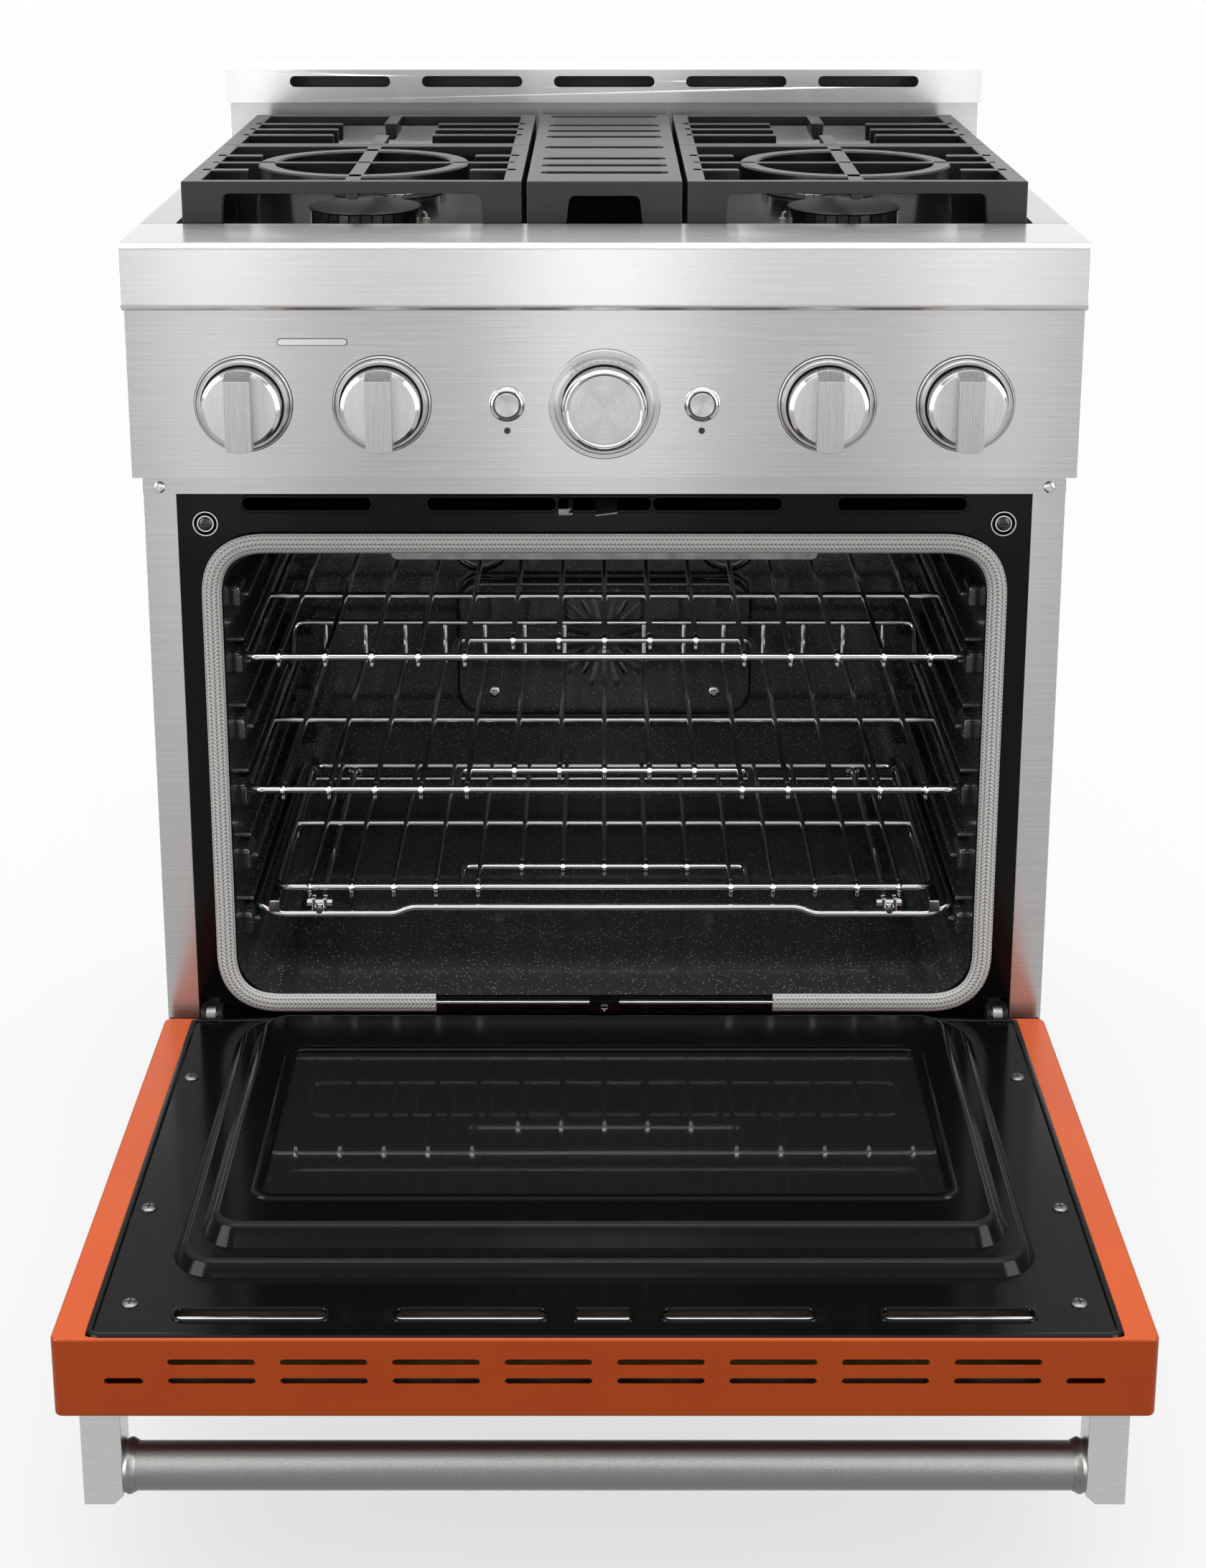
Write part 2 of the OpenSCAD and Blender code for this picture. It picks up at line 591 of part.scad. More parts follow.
// wires of a rack: its side wires at half width hx, from y0 to y1, in the plane at z
module rack_wires(hx, y0, y1, z) {
    pitch = hx / 7.8;
    both() rod_y(y0, y1, hx, z, rail_d);
    for (y = [y0, (y0 + y1) / 2, y1]) rod_x(-hx - rail_d / 2, hx + rail_d / 2, y, z, rail_d + 0.2);
    rod_x(-rack_gap_x - 12, rack_gap_x + 12, y0 + 45, z, rail_d);
    for (k = [-7 : 7]) rod_y(abs(k) < 3 ? y0 + 45 : y0, y1, k * pitch, z, wire_d);
    for (k = [-1, 1]) rod_y(y0, y0 + 45, k * (rack_gap_x + 8), z, wire_d + 0.4);
}
module oven_rack(z) color(chrome) place() {
    rack_wires(rack_x, rack_y0, rack_y1, z);
    rod_x(-rack_x - rail_d / 2, rack_x + rail_d / 2, rack_y1, z + 37, rail_d);
    for (k = [-7 : 7]) rod_z(z, z + 37, k * rack_x / 7.8, rack_y1, wire_d);
}
slide_x = rack_x - 17;
module rack_lower() color(chrome) place() rack_wires(slide_x, rack_y0 + 36, rack_y1 - 20, levels[0] + 14);

module roll_out_frame() color(chrome) place() {
    z = levels[0];
    both() {
        rod_y(44, cavity_d - 64, rack_x, z, rail_d);
        block([slide_x - 6, slide_x + 6], [40, cavity_d - 60], [z - 6, z + 14 - rail_d / 2 - gap]);
        block([slide_x, rack_x], [60, 66], [z - 3, z + 2]);
        block([slide_x, rack_x], [cavity_d - 86, cavity_d - 80], [z - 3, z + 2]);
    }
    rod_x(-slide_x, slide_x, 50, z - 11, rail_d);
    rod_x(-slide_x, slide_x, cavity_d - 80, z - 11, rail_d);
    both() for (y = [50, cavity_d - 80]) rod_z(z - 11, z - 5, slide_x, y, rail_d + 1);
}

// ---- door ----

window_u = [114, door_u1 - 146];
window_x = cavity_w / 2 - 63;
edge_row = -32.9;                            // lower row of slots in the edge beside the handle
module door_skin() color(orange) door_place() difference() {
    block([-half_w, half_w], [door_u0, door_u1], [-door_t, 0]);
    block([-half_w + sheet, half_w - sheet], [door_u0 + sheet, door_u1 - sheet], [-door_t + sheet, -sheet]);
    block([-half_w + rim_w, half_w - rim_w], [door_u0 + sheet, door_u1 - sheet], [-sheet - e, e]);
    // window, hinge notches, and the slots of the edge beside the handle
    block([-window_x, window_x], window_u, [-door_t - e, -door_t + sheet + e]);
    both() block([arm_x - cheek_out - 1, arm_x + cheek_out + 1], [door_u0 - e, door_u0 + sheet + e],
                 [-30, e]);
    for (w = [-18.3, edge_row], i = [-3.5 : 3.5])
        block([i * 77 * range_w / 759 - 30, i * 77 * range_w / 759 + 30], [door_u1 - sheet - e, door_u1 + e],
              [w - 2.7, w + 2.7]);
    both() block([half_w - 63, half_w - 36], [door_u1 - sheet - e, door_u1 + e],
                 [edge_row - 2.7, edge_row + 2.7]);
}

// the liner's two embossed steps: [half width, lower u, upper u, height] at their feet
steps = [[cavity_w / 2 - 6, 22, cavity_top - hinge_z - 5, 10],
         [cavity_w / 2 - 24, 40, cavity_top - hinge_z - 27, 25]];
liner_x = half_w - rim_w;
step_r = 32;                                 // corner radius of a step's foot
// one thin slice of a step, in mm inside its outer face
module step_slice(s, z, in) translate([0, 0, z]) linear_extrude(0.1)
    rounded([-s[0] + in, s[1] + in], [s[0] - in, s[2] - in], step_r - in);
// one embossed step with sloping walls
module step_shell(s, z0, in) hull() {
    step_slice(s, z0, in);
    step_slice(s, s[3] - in - 0.1, in + 9);
}
module door_liner() color(enamel) door_place() difference() {
    union() {
        block([-liner_x, liner_x], [door_u0 + sheet, door_u1 - sheet], [-sheet, 0]);
        step_shell(steps[0], -1, 0);
        step_shell(steps[1], 9, 0);
    }
    step_shell(steps[0], -3, sheet);
    step_shell(steps[1], 7, sheet);
    block([-window_x, window_x], window_u, [0, 30]);
    both() block([arm_x - cheek_out - 1, arm_x + cheek_out + 1], [door_u0 + sheet - e, 16], [-sheet - e, e]);
    for (s = concat(frame_slots, [[0, 35]]))
        block([s[0] - s[1] / 2, s[0] + s[1] / 2], [latch_u - 7, latch_u + 7], [-sheet - e, e]);
    block([-40, 18], [latch_u - 8, latch_u + 8], [-sheet - e, e]);
    for (p = door_screw_at) rod_z(-sheet - e, e, p[0], p[1], 4);
}
latch_u = latch_z - hinge_z;
screw_half = [[liner_x - 16, window_u[0]], [liner_x - 16, door_u1 - 169], [liner_x - 24.5, door_u1 - 43]];
door_screw_at = [for (s = [-1, 1], p = screw_half) [s * p[0], p[1]]];
module door_screws() color(chrome) door_place() for (p = door_screw_at) {
    rod_z(0, 2.5, p[0], p[1], 12);
    rod_z(-sheet, 0, p[0], p[1], 4);
}

glass_x = window_x + 10;
pane_t = 4;
module door_glass() color("#2a2f33") door_place() {
    for (w = [steps[1][3] - sheet - pane_t, -door_t + sheet])
        block([-glass_x, glass_x], [window_u[0] - 10, window_u[1] + 10], [w, w + pane_t]);
}

module glass_frame() color(steel) door_place() difference() {
    block([-glass_x, glass_x], [window_u[0] - 10, window_u[1] + 10],
          [-door_t + sheet + pane_t, steps[1][3] - sheet - pane_t]);
    block([-glass_x + 6, glass_x - 6], [window_u[0] - 4, window_u[1] + 4], [-door_t, steps[1][3]]);
}

module door_insulation() color(wool) door_place() difference() {
    block([-arm_x + 12, arm_x - 12], [24, latch_u - 30], [-door_t + sheet, -sheet]);
    block([-glass_x, glass_x], [window_u[0] - 10, window_u[1] + 10], [-door_t, e]);
}

post_x = half_w - 16.5;                      // outer side of a handle post
post_u = door_u1 - 18;                       // middle of the posts and the bar
post_w = 28;
bar_fit = 0.2;                               // how much wider a post's socket is than the bar
bar_z = -door_t - handle_reach + 22;
module handle_posts() color(chrome) door_place() both() {
    block([post_x - post_w, post_x], [post_u - post_w / 2, post_u + post_w / 2],
          [-door_t - handle_reach, -door_t]);
    difference() {
        rod_x(post_x - post_w - 18, post_x - post_w, post_u, bar_z, handle_d + 4);
        rod_x(post_x - post_w - 19, post_x - post_w + e, post_u, bar_z, handle_d + bar_fit);
    }
}
module handle_bar() color(steel) door_place()
    rod_x(-post_x + post_w, post_x - post_w, post_u, bar_z, handle_d);

// ---- what is drawn ----

side_panels();
back_panel();
base_frame();
leveling_legs();
front_frame();
oven_liner();
oven_insulation();
door_gasket();
gasket_clip();
rack_guides();
fan_baffle();
fan_motor();
oven_lamps();
broil_burner();
control_panel();
bullnose();
trim_strip();
frame_screws();
control_bezels();
dial_bezel();
switch_blocks();
badge_plate();
backguard();
backguard_cap();
cooktop_pan();
burner_heads();
burner_caps();
grates_front();
grates_rear();
grate_center();
gas_manifold();
gas_regulator();
power_gland();
hinge_receivers();
latch_hooks();
roll_out_frame();
door_skin();
door_liner();
door_glass();
glass_frame();
door_insulation();
handle_bar();
handle_posts();
door_screws();
hinge_arms();
oven_rack(levels[4]);  // rack_upper
oven_rack(levels[2]);  // rack_middle
rack_lower();
stem(0);  // stem_1
stem(1);  // stem_2
stem(2);  // stem_3
stem(3);  // stem_4
knob(0);  // knob_1
knob(1);  // knob_2
knob(2);  // knob_3
knob(3);  // knob_4
oven_dial();
button(-1);  // button_left
button(1);  // button_right
fan_wheel();
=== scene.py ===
"""Looks of a freestanding gas range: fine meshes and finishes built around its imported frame."""

import logging
import math
from dataclasses import dataclass, field
from enum import Enum
from typing import Sequence

import bmesh
import bpy
from bmesh.types import BMesh
from mathutils import Matrix, Vector


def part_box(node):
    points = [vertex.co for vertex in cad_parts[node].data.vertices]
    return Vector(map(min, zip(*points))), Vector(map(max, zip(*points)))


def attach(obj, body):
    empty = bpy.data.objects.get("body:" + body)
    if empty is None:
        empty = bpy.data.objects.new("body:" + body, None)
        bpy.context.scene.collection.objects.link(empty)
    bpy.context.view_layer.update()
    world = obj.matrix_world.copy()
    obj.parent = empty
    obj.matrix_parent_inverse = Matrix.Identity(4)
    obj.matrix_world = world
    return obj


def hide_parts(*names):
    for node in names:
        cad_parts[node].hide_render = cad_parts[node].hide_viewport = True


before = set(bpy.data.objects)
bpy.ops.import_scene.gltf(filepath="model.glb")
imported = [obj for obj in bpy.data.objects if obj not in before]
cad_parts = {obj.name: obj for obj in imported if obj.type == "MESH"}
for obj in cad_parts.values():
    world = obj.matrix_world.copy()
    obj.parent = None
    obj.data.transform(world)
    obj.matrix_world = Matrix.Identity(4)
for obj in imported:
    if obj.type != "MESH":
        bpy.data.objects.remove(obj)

MM = 0.001
TURN = 2 * math.pi
log = logging.getLogger("range")
Span = tuple[float, float]
Point = tuple[float, float, float]


class Axis(Enum):
    """The direction in which a turned or pushed shape is laid."""

    X = "x"
    Y = "y"
    Z = "z"


AXIS_FRAME = {
    Axis.X: Matrix(((0, 0, 1, 0), (1, 0, 0, 0), (0, 1, 0, 0), (0, 0, 0, 1))),
    Axis.Y: Matrix(((1, 0, 0, 0), (0, 0, 1, 0), (0, 1, 0, 0), (0, 0, 0, 1))),
    Axis.Z: Matrix.Identity(4),
}


# ---------------------------------------------------------------- layout, read from the frame


@dataclass(frozen=True)
class Box:
    """A node's place at rest, in millimetres."""

    x: Span
    y: Span
    z: Span

    @classmethod
    def of(cls, node: str) -> "Box":
        """Reads a node's box from the frame.

        Args:
            node: the node's name.

        Returns:
            Its lowest and highest coordinates along each axis.
        """
        low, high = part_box(node)
        return cls(*[(low[i] / MM, high[i] / MM) for i in range(3)])

    def mid(self, axis: int) -> float:
        """The middle along one axis.

        Args:
            axis: 0, 1 or 2 for X, Y or Z.

        Returns:
            The middle, in millimetres.
        """
        span = (self.x, self.y, self.z)[axis]
        return (span[0] + span[1]) / 2


# ---------------------------------------------------------------- making meshes


def block(x: Span, y: Span, z: Span, bevel: float = 0.0, segments: int = 2) -> BMesh:
    """A box between two corners, its edges rounded if a bevel is given.

    Args:
        x: lowest and highest X in millimetres.
        y: lowest and highest Y.
        z: lowest and highest Z.
        bevel: width of the rounded edges.
        segments: faces across each rounded edge.

    Returns:
        A closed mesh.
    """
    bm = bmesh.new()
    size = [s[1] - s[0] for s in (x, y, z)]
    middle = [(s[1] + s[0]) / 2 for s in (x, y, z)]
    bmesh.ops.create_cube(bm, size=1.0, matrix=Matrix.Translation(middle) @ Matrix.Diagonal((*size, 1)))
    if bevel:
        soften(bm, bevel, segments)
    return bm


def soften(bm: BMesh, width: float, segments: int = 2, angle: float = 35.0) -> BMesh:
    """Rounds every edge that is sharper than an angle.

    Args:
        bm: the mesh, changed in place.
        width: how far the rounding reaches, in millimetres.
        segments: faces across the rounding.
        angle: least angle between two faces, in degrees.

    Returns:
        The same mesh.
    """
    limit = math.radians(angle)
    sharp = [e for e in bm.edges if len(e.link_faces) == 2 and e.calc_face_angle(0.0) > limit]
    bmesh.ops.bevel(
        bm, geom=sharp, offset=width, offset_type="OFFSET", segments=segments, profile=0.5,
        affect="EDGES", clamp_overlap=True, material=-1, loop_slide=True,
    )
    return bm


def join(*parts: BMesh) -> BMesh:
    """Puts several meshes together in one, and frees the others.

    Args:
        parts: the meshes, of which only the first is kept.

    Returns:
        The joined mesh.
    """
    whole = parts[0]
    for part in parts[1:]:
        spare = bpy.data.meshes.new("spare")
        part.to_mesh(spare)
        whole.from_mesh(spare)
        bpy.data.meshes.remove(spare)
        part.free()
    return whole


def carve(body: BMesh, *tools: BMesh, union: bool = False) -> BMesh:
    """Cuts tools out of a mesh, or welds them to it.

    Args:
        body: the mesh to cut.
        tools: closed meshes, used up.
        union: weld the tools on in place of cutting.

    Returns:
        A new mesh.
    """
    stock = bpy.data.objects.new("stock", bpy.data.meshes.new("stock"))
    cutter = bpy.data.objects.new("cutter", bpy.data.meshes.new("cutter"))
    for held, shape in ((stock, body), (cutter, join(*tools))):
        shape.to_mesh(held.data)
        shape.free()
        bpy.context.scene.collection.objects.link(held)
    change = stock.modifiers.new("cut", "BOOLEAN")
    change.operation = "UNION" if union else "DIFFERENCE"
    change.solver = "EXACT"
    change.use_self = union
    change.object = cutter
    bpy.context.view_layer.update()
    result = bmesh.new()
    result.from_mesh(stock.evaluated_get(bpy.context.evaluated_depsgraph_get()).to_mesh())
    for held in (stock, cutter):
        spare = held.data
        bpy.data.objects.remove(held)
        bpy.data.meshes.remove(spare)
    bmesh.ops.remove_doubles(result, verts=result.verts, dist=0.001)
    bmesh.ops.dissolve_limit(result, angle_limit=0.002, verts=result.verts, edges=result.edges)
    return result


def round_slab(a: Span, b: Span, h: Span, radius: float, axis: Axis = Axis.Z, steps: int = 6) -> BMesh:
    """A plate with rounded corners, pushed along an axis.

    Args:
        a: span along the outline's first direction (X, or Y for a plate along X).
        b: span along the outline's second direction.
        h: span along the axis.
        radius: corner radius.
        axis: the direction of its thickness.
        steps: faces round each corner.

    Returns:
        A closed mesh.
    """
    bm = bmesh.new()
    size = Matrix.Diagonal(((a[1] - a[0]) / 2, (b[1] - b[0]) / 2, 1, 1))
    place = Matrix.Translation(((a[0] + a[1]) / 2, (b[0] + b[1]) / 2, h[0]))
    bmesh.ops.create_grid(bm, x_segments=1, y_segments=1, size=1.0, matrix=place @ size)
    if radius:
        most = 0.499 * min(a[1] - a[0], b[1] - b[0])
        bmesh.ops.bevel(
            bm, geom=list(bm.verts), offset=min(radius, most), offset_type="OFFSET", segments=steps,
            profile=0.5, affect="VERTICES", clamp_overlap=True, material=-1,
        )
    pushed = bmesh.ops.extrude_face_region(bm, geom=list(bm.faces), use_keep_orig=True)
    top = [v for v in pushed["geom"] if isinstance(v, bmesh.types.BMVert)]
    bmesh.ops.translate(bm, verts=top, vec=(0, 0, h[1] - h[0]))
    bmesh.ops.transform(bm, matrix=AXIS_FRAME[axis], verts=bm.verts)
    bmesh.ops.recalc_face_normals(bm, faces=bm.faces)
    return bm


def lathe(outline: Sequence[Span], centre: Point, axis: Axis = Axis.Z, steps: int = 64) -> BMesh:
    """A turned shape, with a UV map of its turn and its height in millimetres.

    Args:
        outline: (radius, height) points from one end to the other.
        centre: where height 0 of the axis lies.
        axis: the direction of its height.
        steps: faces round it.

    Returns:
        A closed mesh.
    """
    bm = bmesh.new()
    points = [bm.verts.new((r, 0, h)) for r, h in outline]
    edges = [bm.edges.new(pair) for pair in zip(points, points[1:])]
    bmesh.ops.spin(
        bm, geom=points + edges, cent=(0, 0, 0), axis=(0, 0, 1), angle=TURN, steps=steps, use_merge=True,
        use_duplicate=False,
    )
    bmesh.ops.remove_doubles(bm, verts=bm.verts, dist=0.001)
    bmesh.ops.holes_fill(bm, edges=[e for e in bm.edges if e.is_boundary])
    bmesh.ops.recalc_face_normals(bm, faces=bm.faces)
    uv = bm.loops.layers.uv.new("UVMap")
    for face in bm.faces:
        middle = face.calc_center_median()
        start = math.atan2(middle.y, middle.x)
        for loop in face.loops:
            co = loop.vert.co
            turn = math.atan2(co.y, co.x) if co.xy.length > 0.001 else start
            turn += TURN * round((start - turn) / TURN)
            loop[uv].uv = (turn / TURN, co.z + co.xy.length)
    bmesh.ops.transform(bm, matrix=Matrix.Translation(centre) @ AXIS_FRAME[axis], verts=bm.verts)
    bmesh.ops.recalc_face_normals(bm, faces=bm.faces)
    return bm


def rounded_path(points: Sequence[Point], bend: float, steps: int = 4, closed: bool = False) -> list[Vector]:
    """A path with its corners rounded.

    Args:
        points: the path's corners.
        bend: bending radius, measured along each leg from its corner.
        steps: points round each bend.
        closed: whether the path returns to its start.

    Returns:
        The points of the rounded path.
    """
    corners = [Vector(p) for p in points]
    count = len(corners)
    path: list[Vector] = []
    for i, corner in enumerate(corners):
        if not closed and i in (0, count - 1):
            path.append(corner)
            continue
        back, ahead = corners[i - 1] - corner, corners[(i + 1) % count] - corner
        reach = min(bend, back.length * 0.49, ahead.length * 0.49)
        a, b = corner + back.normalized() * reach, corner + ahead.normalized() * reach
        for k in range(steps + 1):
            t = k / steps
            path.append(a.lerp(corner, t).lerp(corner.lerp(b, t), t))
    return path


def sweep(
    path: Sequence[Vector], radii: Span, sides: int = 8, closed: bool = False, flat: Vector | None = None
) -> BMesh:
    """A bar of round or oval section along a path, with a UV map in millimetres along it.

    Args:
        path: the points of its middle line.
        radii: half its width, and half its height along Z or away from it.
        sides: faces round it.
        closed: whether its ends meet.
        flat: the normal of the plane that the path lies in, along which the second radius is measured.

    Returns:
        A closed mesh.
    """
    bm = bmesh.new()
    spoke = bm.verts.layers.int.new("spoke")
    ring = bm.verts.layers.int.new("ring")
    rings: list[list[bmesh.types.BMEdge]] = []
    run = [0.0]
    count = len(path)
    for i, point in enumerate(path):
        before = path[i - 1] if closed or i else path[0]
        after = path[(i + 1) % count] if closed or i < count - 1 else path[-1]
        ahead = (after - before).normalized()
        hint = flat or (Vector((0, 0, 1)) if abs(ahead.z) < 0.9 else Vector((0, 1, 0)))
        side = ahead.cross(hint).normalized()
        up = side.cross(ahead)
        basis = Matrix((side * radii[0], up * radii[1], ahead)).transposed().to_4x4()
        made = bmesh.ops.create_circle(
            bm, cap_ends=False, segments=sides, radius=1.0, matrix=Matrix.Translation(point) @ basis
        )["verts"]
        for k, vert in enumerate(made):
            vert[spoke], vert[ring] = k, i
        rings.append([e for e in {e for v in made for e in v.link_edges}])
        if i:
            run.append(run[-1] + (point - path[i - 1]).length)
    run.append(run[-1] + (path[0] - path[-1]).length)
    pairs = list(zip(rings, rings[1:])) + ([(rings[-1], rings[0])] if closed else [])
    for a, b in pairs:
        bmesh.ops.bridge_loops(bm, edges=a + b)
    if not closed:
        bmesh.ops.holes_fill(bm, edges=[e for e in bm.edges if e.is_boundary])
    uv = bm.loops.layers.uv.new("UVMap")
    for face in bm.faces:
        last = {loop.vert[ring] for loop in face.loops} == {0, count - 1}
        wrap = {loop.vert[spoke] for loop in face.loops} == {0, sides - 1}
        for loop in face.loops:
            i, k = loop.vert[ring], loop.vert[spoke]
            along = run[count] if last and i == 0 else run[i]
            loop[uv].uv = (along, (sides if wrap and k == 0 else k) / sides)
    bmesh.ops.recalc_face_normals(bm, faces=bm.faces)
    return bm


def rod(a: Point, b: Point, radius: float, sides: int = 16) -> BMesh:
    """A straight round bar between two points.

    Args:
        a: one end.
        b: the other end.
        radius: half of its thickness.
        sides: flats around it.

    Returns:
        The bar's mesh.
    """
    return sweep([Vector(a), Vector(b)], (radius, radius), sides)


def mirrored(bm: BMesh) -> BMesh:
    """The same shape on both sides of the range.

    Args:
        bm: the shape on the right, used up.

    Returns:
        Both shapes as one mesh.
    """
    other = bm.copy()
    bmesh.ops.scale(other, vec=(-1, 1, 1), verts=other.verts)
    bmesh.ops.reverse_faces(other, faces=other.faces)
    return join(bm, other)


def open_box(x: Span, y: Span, z: Span, opening: Vector, wall: float, bevel: float) -> BMesh:
    """A folded sheet box with one side left open.

    Args:
        x: its outer span along X.
        y: its outer span along Y.
        z: its outer span along Z.
        opening: the direction of the open side.
        wall: the sheet's thickness.
        bevel: radius of the folds.

    Returns:
        A closed shell.
    """
    bm = block(x, y, z)
    lids = [f for f in bm.faces if f.normal.dot(opening) > 0.9]
    edges = [e for e in bm.edges if not any(f in lids for f in e.link_faces)]
    bmesh.ops.bevel(
        bm, geom=edges, offset=bevel, offset_type="OFFSET", segments=4, profile=0.5, affect="EDGES",
        clamp_overlap=True, material=-1,
    )
    lids = [f for f in bm.faces if f.normal.dot(opening) > 0.99]
    bmesh.ops.delete(bm, geom=lids, context="FACES")
    bmesh.ops.recalc_face_normals(bm, faces=bm.faces)
    if sum((f.calc_center_median() - Vector([(s[0] + s[1]) / 2 for s in (x, y, z)])).dot(f.normal)
           for f in bm.faces) < 0:
        bmesh.ops.reverse_faces(bm, faces=bm.faces)
    bmesh.ops.solidify(bm, geom=list(bm.faces), thickness=wall)
    return bm


# ---------------------------------------------------------------- finishes


def linear(code: str) -> tuple[float, float, float, float]:
    """Turns an sRGB hex colour into the linear colour a shader takes.

    Args:
        code: six hex digits after a hash.

    Returns:
        Red, green, blue and alpha.
    """
    parts = [int(code[i:i + 2], 16) / 255 for i in (1, 3, 5)]
    return (*[p / 12.92 if p <= 0.04045 else ((p + 0.055) / 1.055) ** 2.4 for p in parts], 1.0)


def add(
    tree: bpy.types.NodeTree, kind: str, settings: dict | None = None, inputs: dict | None = None
) -> bpy.types.Node:
    """Adds one node with its settings and its links.

    Args:
        tree: the material's or the world's node tree.
        kind: the node's type name after "ShaderNode".
        settings: attributes of the node.
        inputs: a value, or a socket to link, for each input's name or number.

    Returns:
        The new node.
    """
    node = tree.nodes.new("ShaderNode" + kind)
    for key, value in (settings or {}).items():
        setattr(node, key, value)
    for key, value in (inputs or {}).items():
        if isinstance(value, bpy.types.NodeSocket):
            tree.links.new(value, node.inputs[key])
        else:
            node.inputs[key].default_value = value
    return node


def ramp(
    tree: bpy.types.NodeTree, factor: bpy.types.NodeSocket, stops: Sequence[tuple[float, str]]
) -> bpy.types.Node:
    """A colour ramp through hex colours at given places.

    Args:
        tree: the material's node tree.
        factor: the value that picks the colour.
        stops: places from 0 to 1, each with its hex colour.

    Returns:
        The ramp's node.
    """
    node = add(tree, "ValToRGB", inputs={"Fac": factor})
    band = node.color_ramp
    while len(band.elements) < len(stops):
        band.elements.new(0.5)
    for element, (place, code) in zip(band.elements, stops):
        element.position, element.color = place, linear(code)
    return node


def spread(tree: bpy.types.NodeTree, value: bpy.types.NodeSocket, low: float,
           high: float) -> bpy.types.NodeSocket:
    """Maps a 0 to 1 value onto a range, held at its ends.

    Args:
        tree: the material's node tree.
        value: the value to map.
        low: what 0 becomes.
        high: what 1 becomes.

    Returns:
        The mapped value.
    """
    return add(tree, "MapRange", inputs={"Value": value, "To Min": low, "To Max": high}).outputs[0]


@dataclass(frozen=True)
class Finish:
    """What every finish has: its name, and a material made once."""

    name: str

    def paint(self, tree: bpy.types.NodeTree, skin: bpy.types.Node) -> None:
        """Adds this finish's own nodes and sets the shader.

        Args:
            tree: the material's node tree.
            skin: its Principled shader.
        """

    def material(self) -> bpy.types.Material:
        """The finish as a Blender material, made the first time it is asked for.

        Returns:
            The material.
        """
        made = bpy.data.materials.get(self.name)
        if made:
            return made
        made = bpy.data.materials.new(self.name)
        made.use_nodes = True
        tree = made.node_tree
        tree.nodes.clear()
        skin = add(tree, "BsdfPrincipled")
        add(tree, "OutputMaterial", inputs={"Surface": skin.outputs[0]})
        self.paint(tree, skin)
        return made


@dataclass(frozen=True)
class BrushedSteel(Finish):
    """Stainless sheet brushed one way: fine scratches smear the light across the grain."""

    light: str = "#c4c4c3"
    dark: str = "#b6b6b5"
    roughness: Span = (0.2, 0.27)
    grain: Point = (9.0, 1100.0, 1100.0)  # scratches per metre along X, Y and Z: long ones, 0.9 mm apart
    bump: float = 0.02
    across: Point = (0.0, 1.0, 1.0)  # the way in which the grain smears the light
    smear: float = 0.85

    def paint(self, tree: bpy.types.NodeTree, skin: bpy.types.Node) -> None:
        """Adds the scratches to colour, gloss and relief.

        Args:
            tree: the material's node tree.
            skin: its Principled shader.
        """
        place = add(tree, "TexCoord").outputs["Object"]
        stretched = add(tree, "Mapping", inputs={"Vector": place, "Scale": self.grain}).outputs[0]
        scratch = add(tree, "TexNoise", inputs={"Vector": stretched, "Scale": 1.0, "Detail": 4.0,
                                                "Roughness": 0.65})
        drift = add(tree, "TexNoise", inputs={"Vector": place, "Scale": 5.0, "Detail": 2.0})
        tone = ramp(tree, scratch.outputs[0], [(0.3, self.dark), (0.7, self.light)])
        mixed = add(tree, "Math", {"operation": "MULTIPLY_ADD"}, {0: drift.outputs[0], 1: 0.5,
                                                                  2: scratch.outputs[0]})
        relief = add(tree, "Bump", inputs={"Height": scratch.outputs[0], "Strength": self.bump,
                                           "Distance": 0.0005})
        tangent = add(tree, "CombineXYZ", inputs=dict(enumerate(self.across)))
        for name, value in (("Base Color", tone.outputs[0]), ("Normal", relief.outputs[0]),
                            ("Tangent", tangent.outputs[0]),
                            ("Roughness", spread(tree, mixed.outputs[0], *self.roughness))):
            tree.links.new(value, skin.inputs[name])
        for name, value in (("Metallic", 1.0), ("Anisotropic", self.smear)):
            skin.inputs[name].default_value = value


@dataclass(frozen=True)
class SpunSteel(Finish):
    """Steel faced on a lathe: rings a third of a millimetre apart throw a bow-tie of light."""

    tone: str = "#c4c4c3"
    roughness: float = 0.3
    rings: float = 0.32
    anisotropy: float = 0.85

    def paint(self, tree: bpy.types.NodeTree, skin: bpy.types.Node) -> None:
        """Adds the turning marks, which follow the piece's own map.

        Args:
            tree: the material's node tree.
            skin: its Principled shader.
        """
        where = add(tree, "UVMap", {"uv_map": "UVMap"}).outputs[0]
        stretched = add(tree, "Mapping", inputs={"Vector": where, "Scale": (6.0, 1 / self.rings,
                                                                            1.0)}).outputs[0]
        marks = add(tree, "TexNoise", inputs={"Vector": stretched, "Scale": 1.0, "Detail": 3.0})
        tone = ramp(tree, marks.outputs[0], [(0.3, "#a9a9a8"), (0.7, self.tone)])
        along = add(tree, "Tangent", {"direction_type": "UV_MAP", "uv_map": "UVMap"})
        relief = add(tree, "Bump", inputs={"Height": marks.outputs[0], "Strength": 0.06, "Distance": 0.0003})
        for name, value in (("Base Color", tone.outputs[0]), ("Normal", relief.outputs[0]),
                            ("Tangent", along.outputs[0])):
            tree.links.new(value, skin.inputs[name])
        for name, value in (("Metallic", 1.0), ("Roughness", self.roughness),
                            ("Anisotropic", self.anisotropy), ("Anisotropic Rotation", 0.25)):
            skin.inputs[name].default_value = value


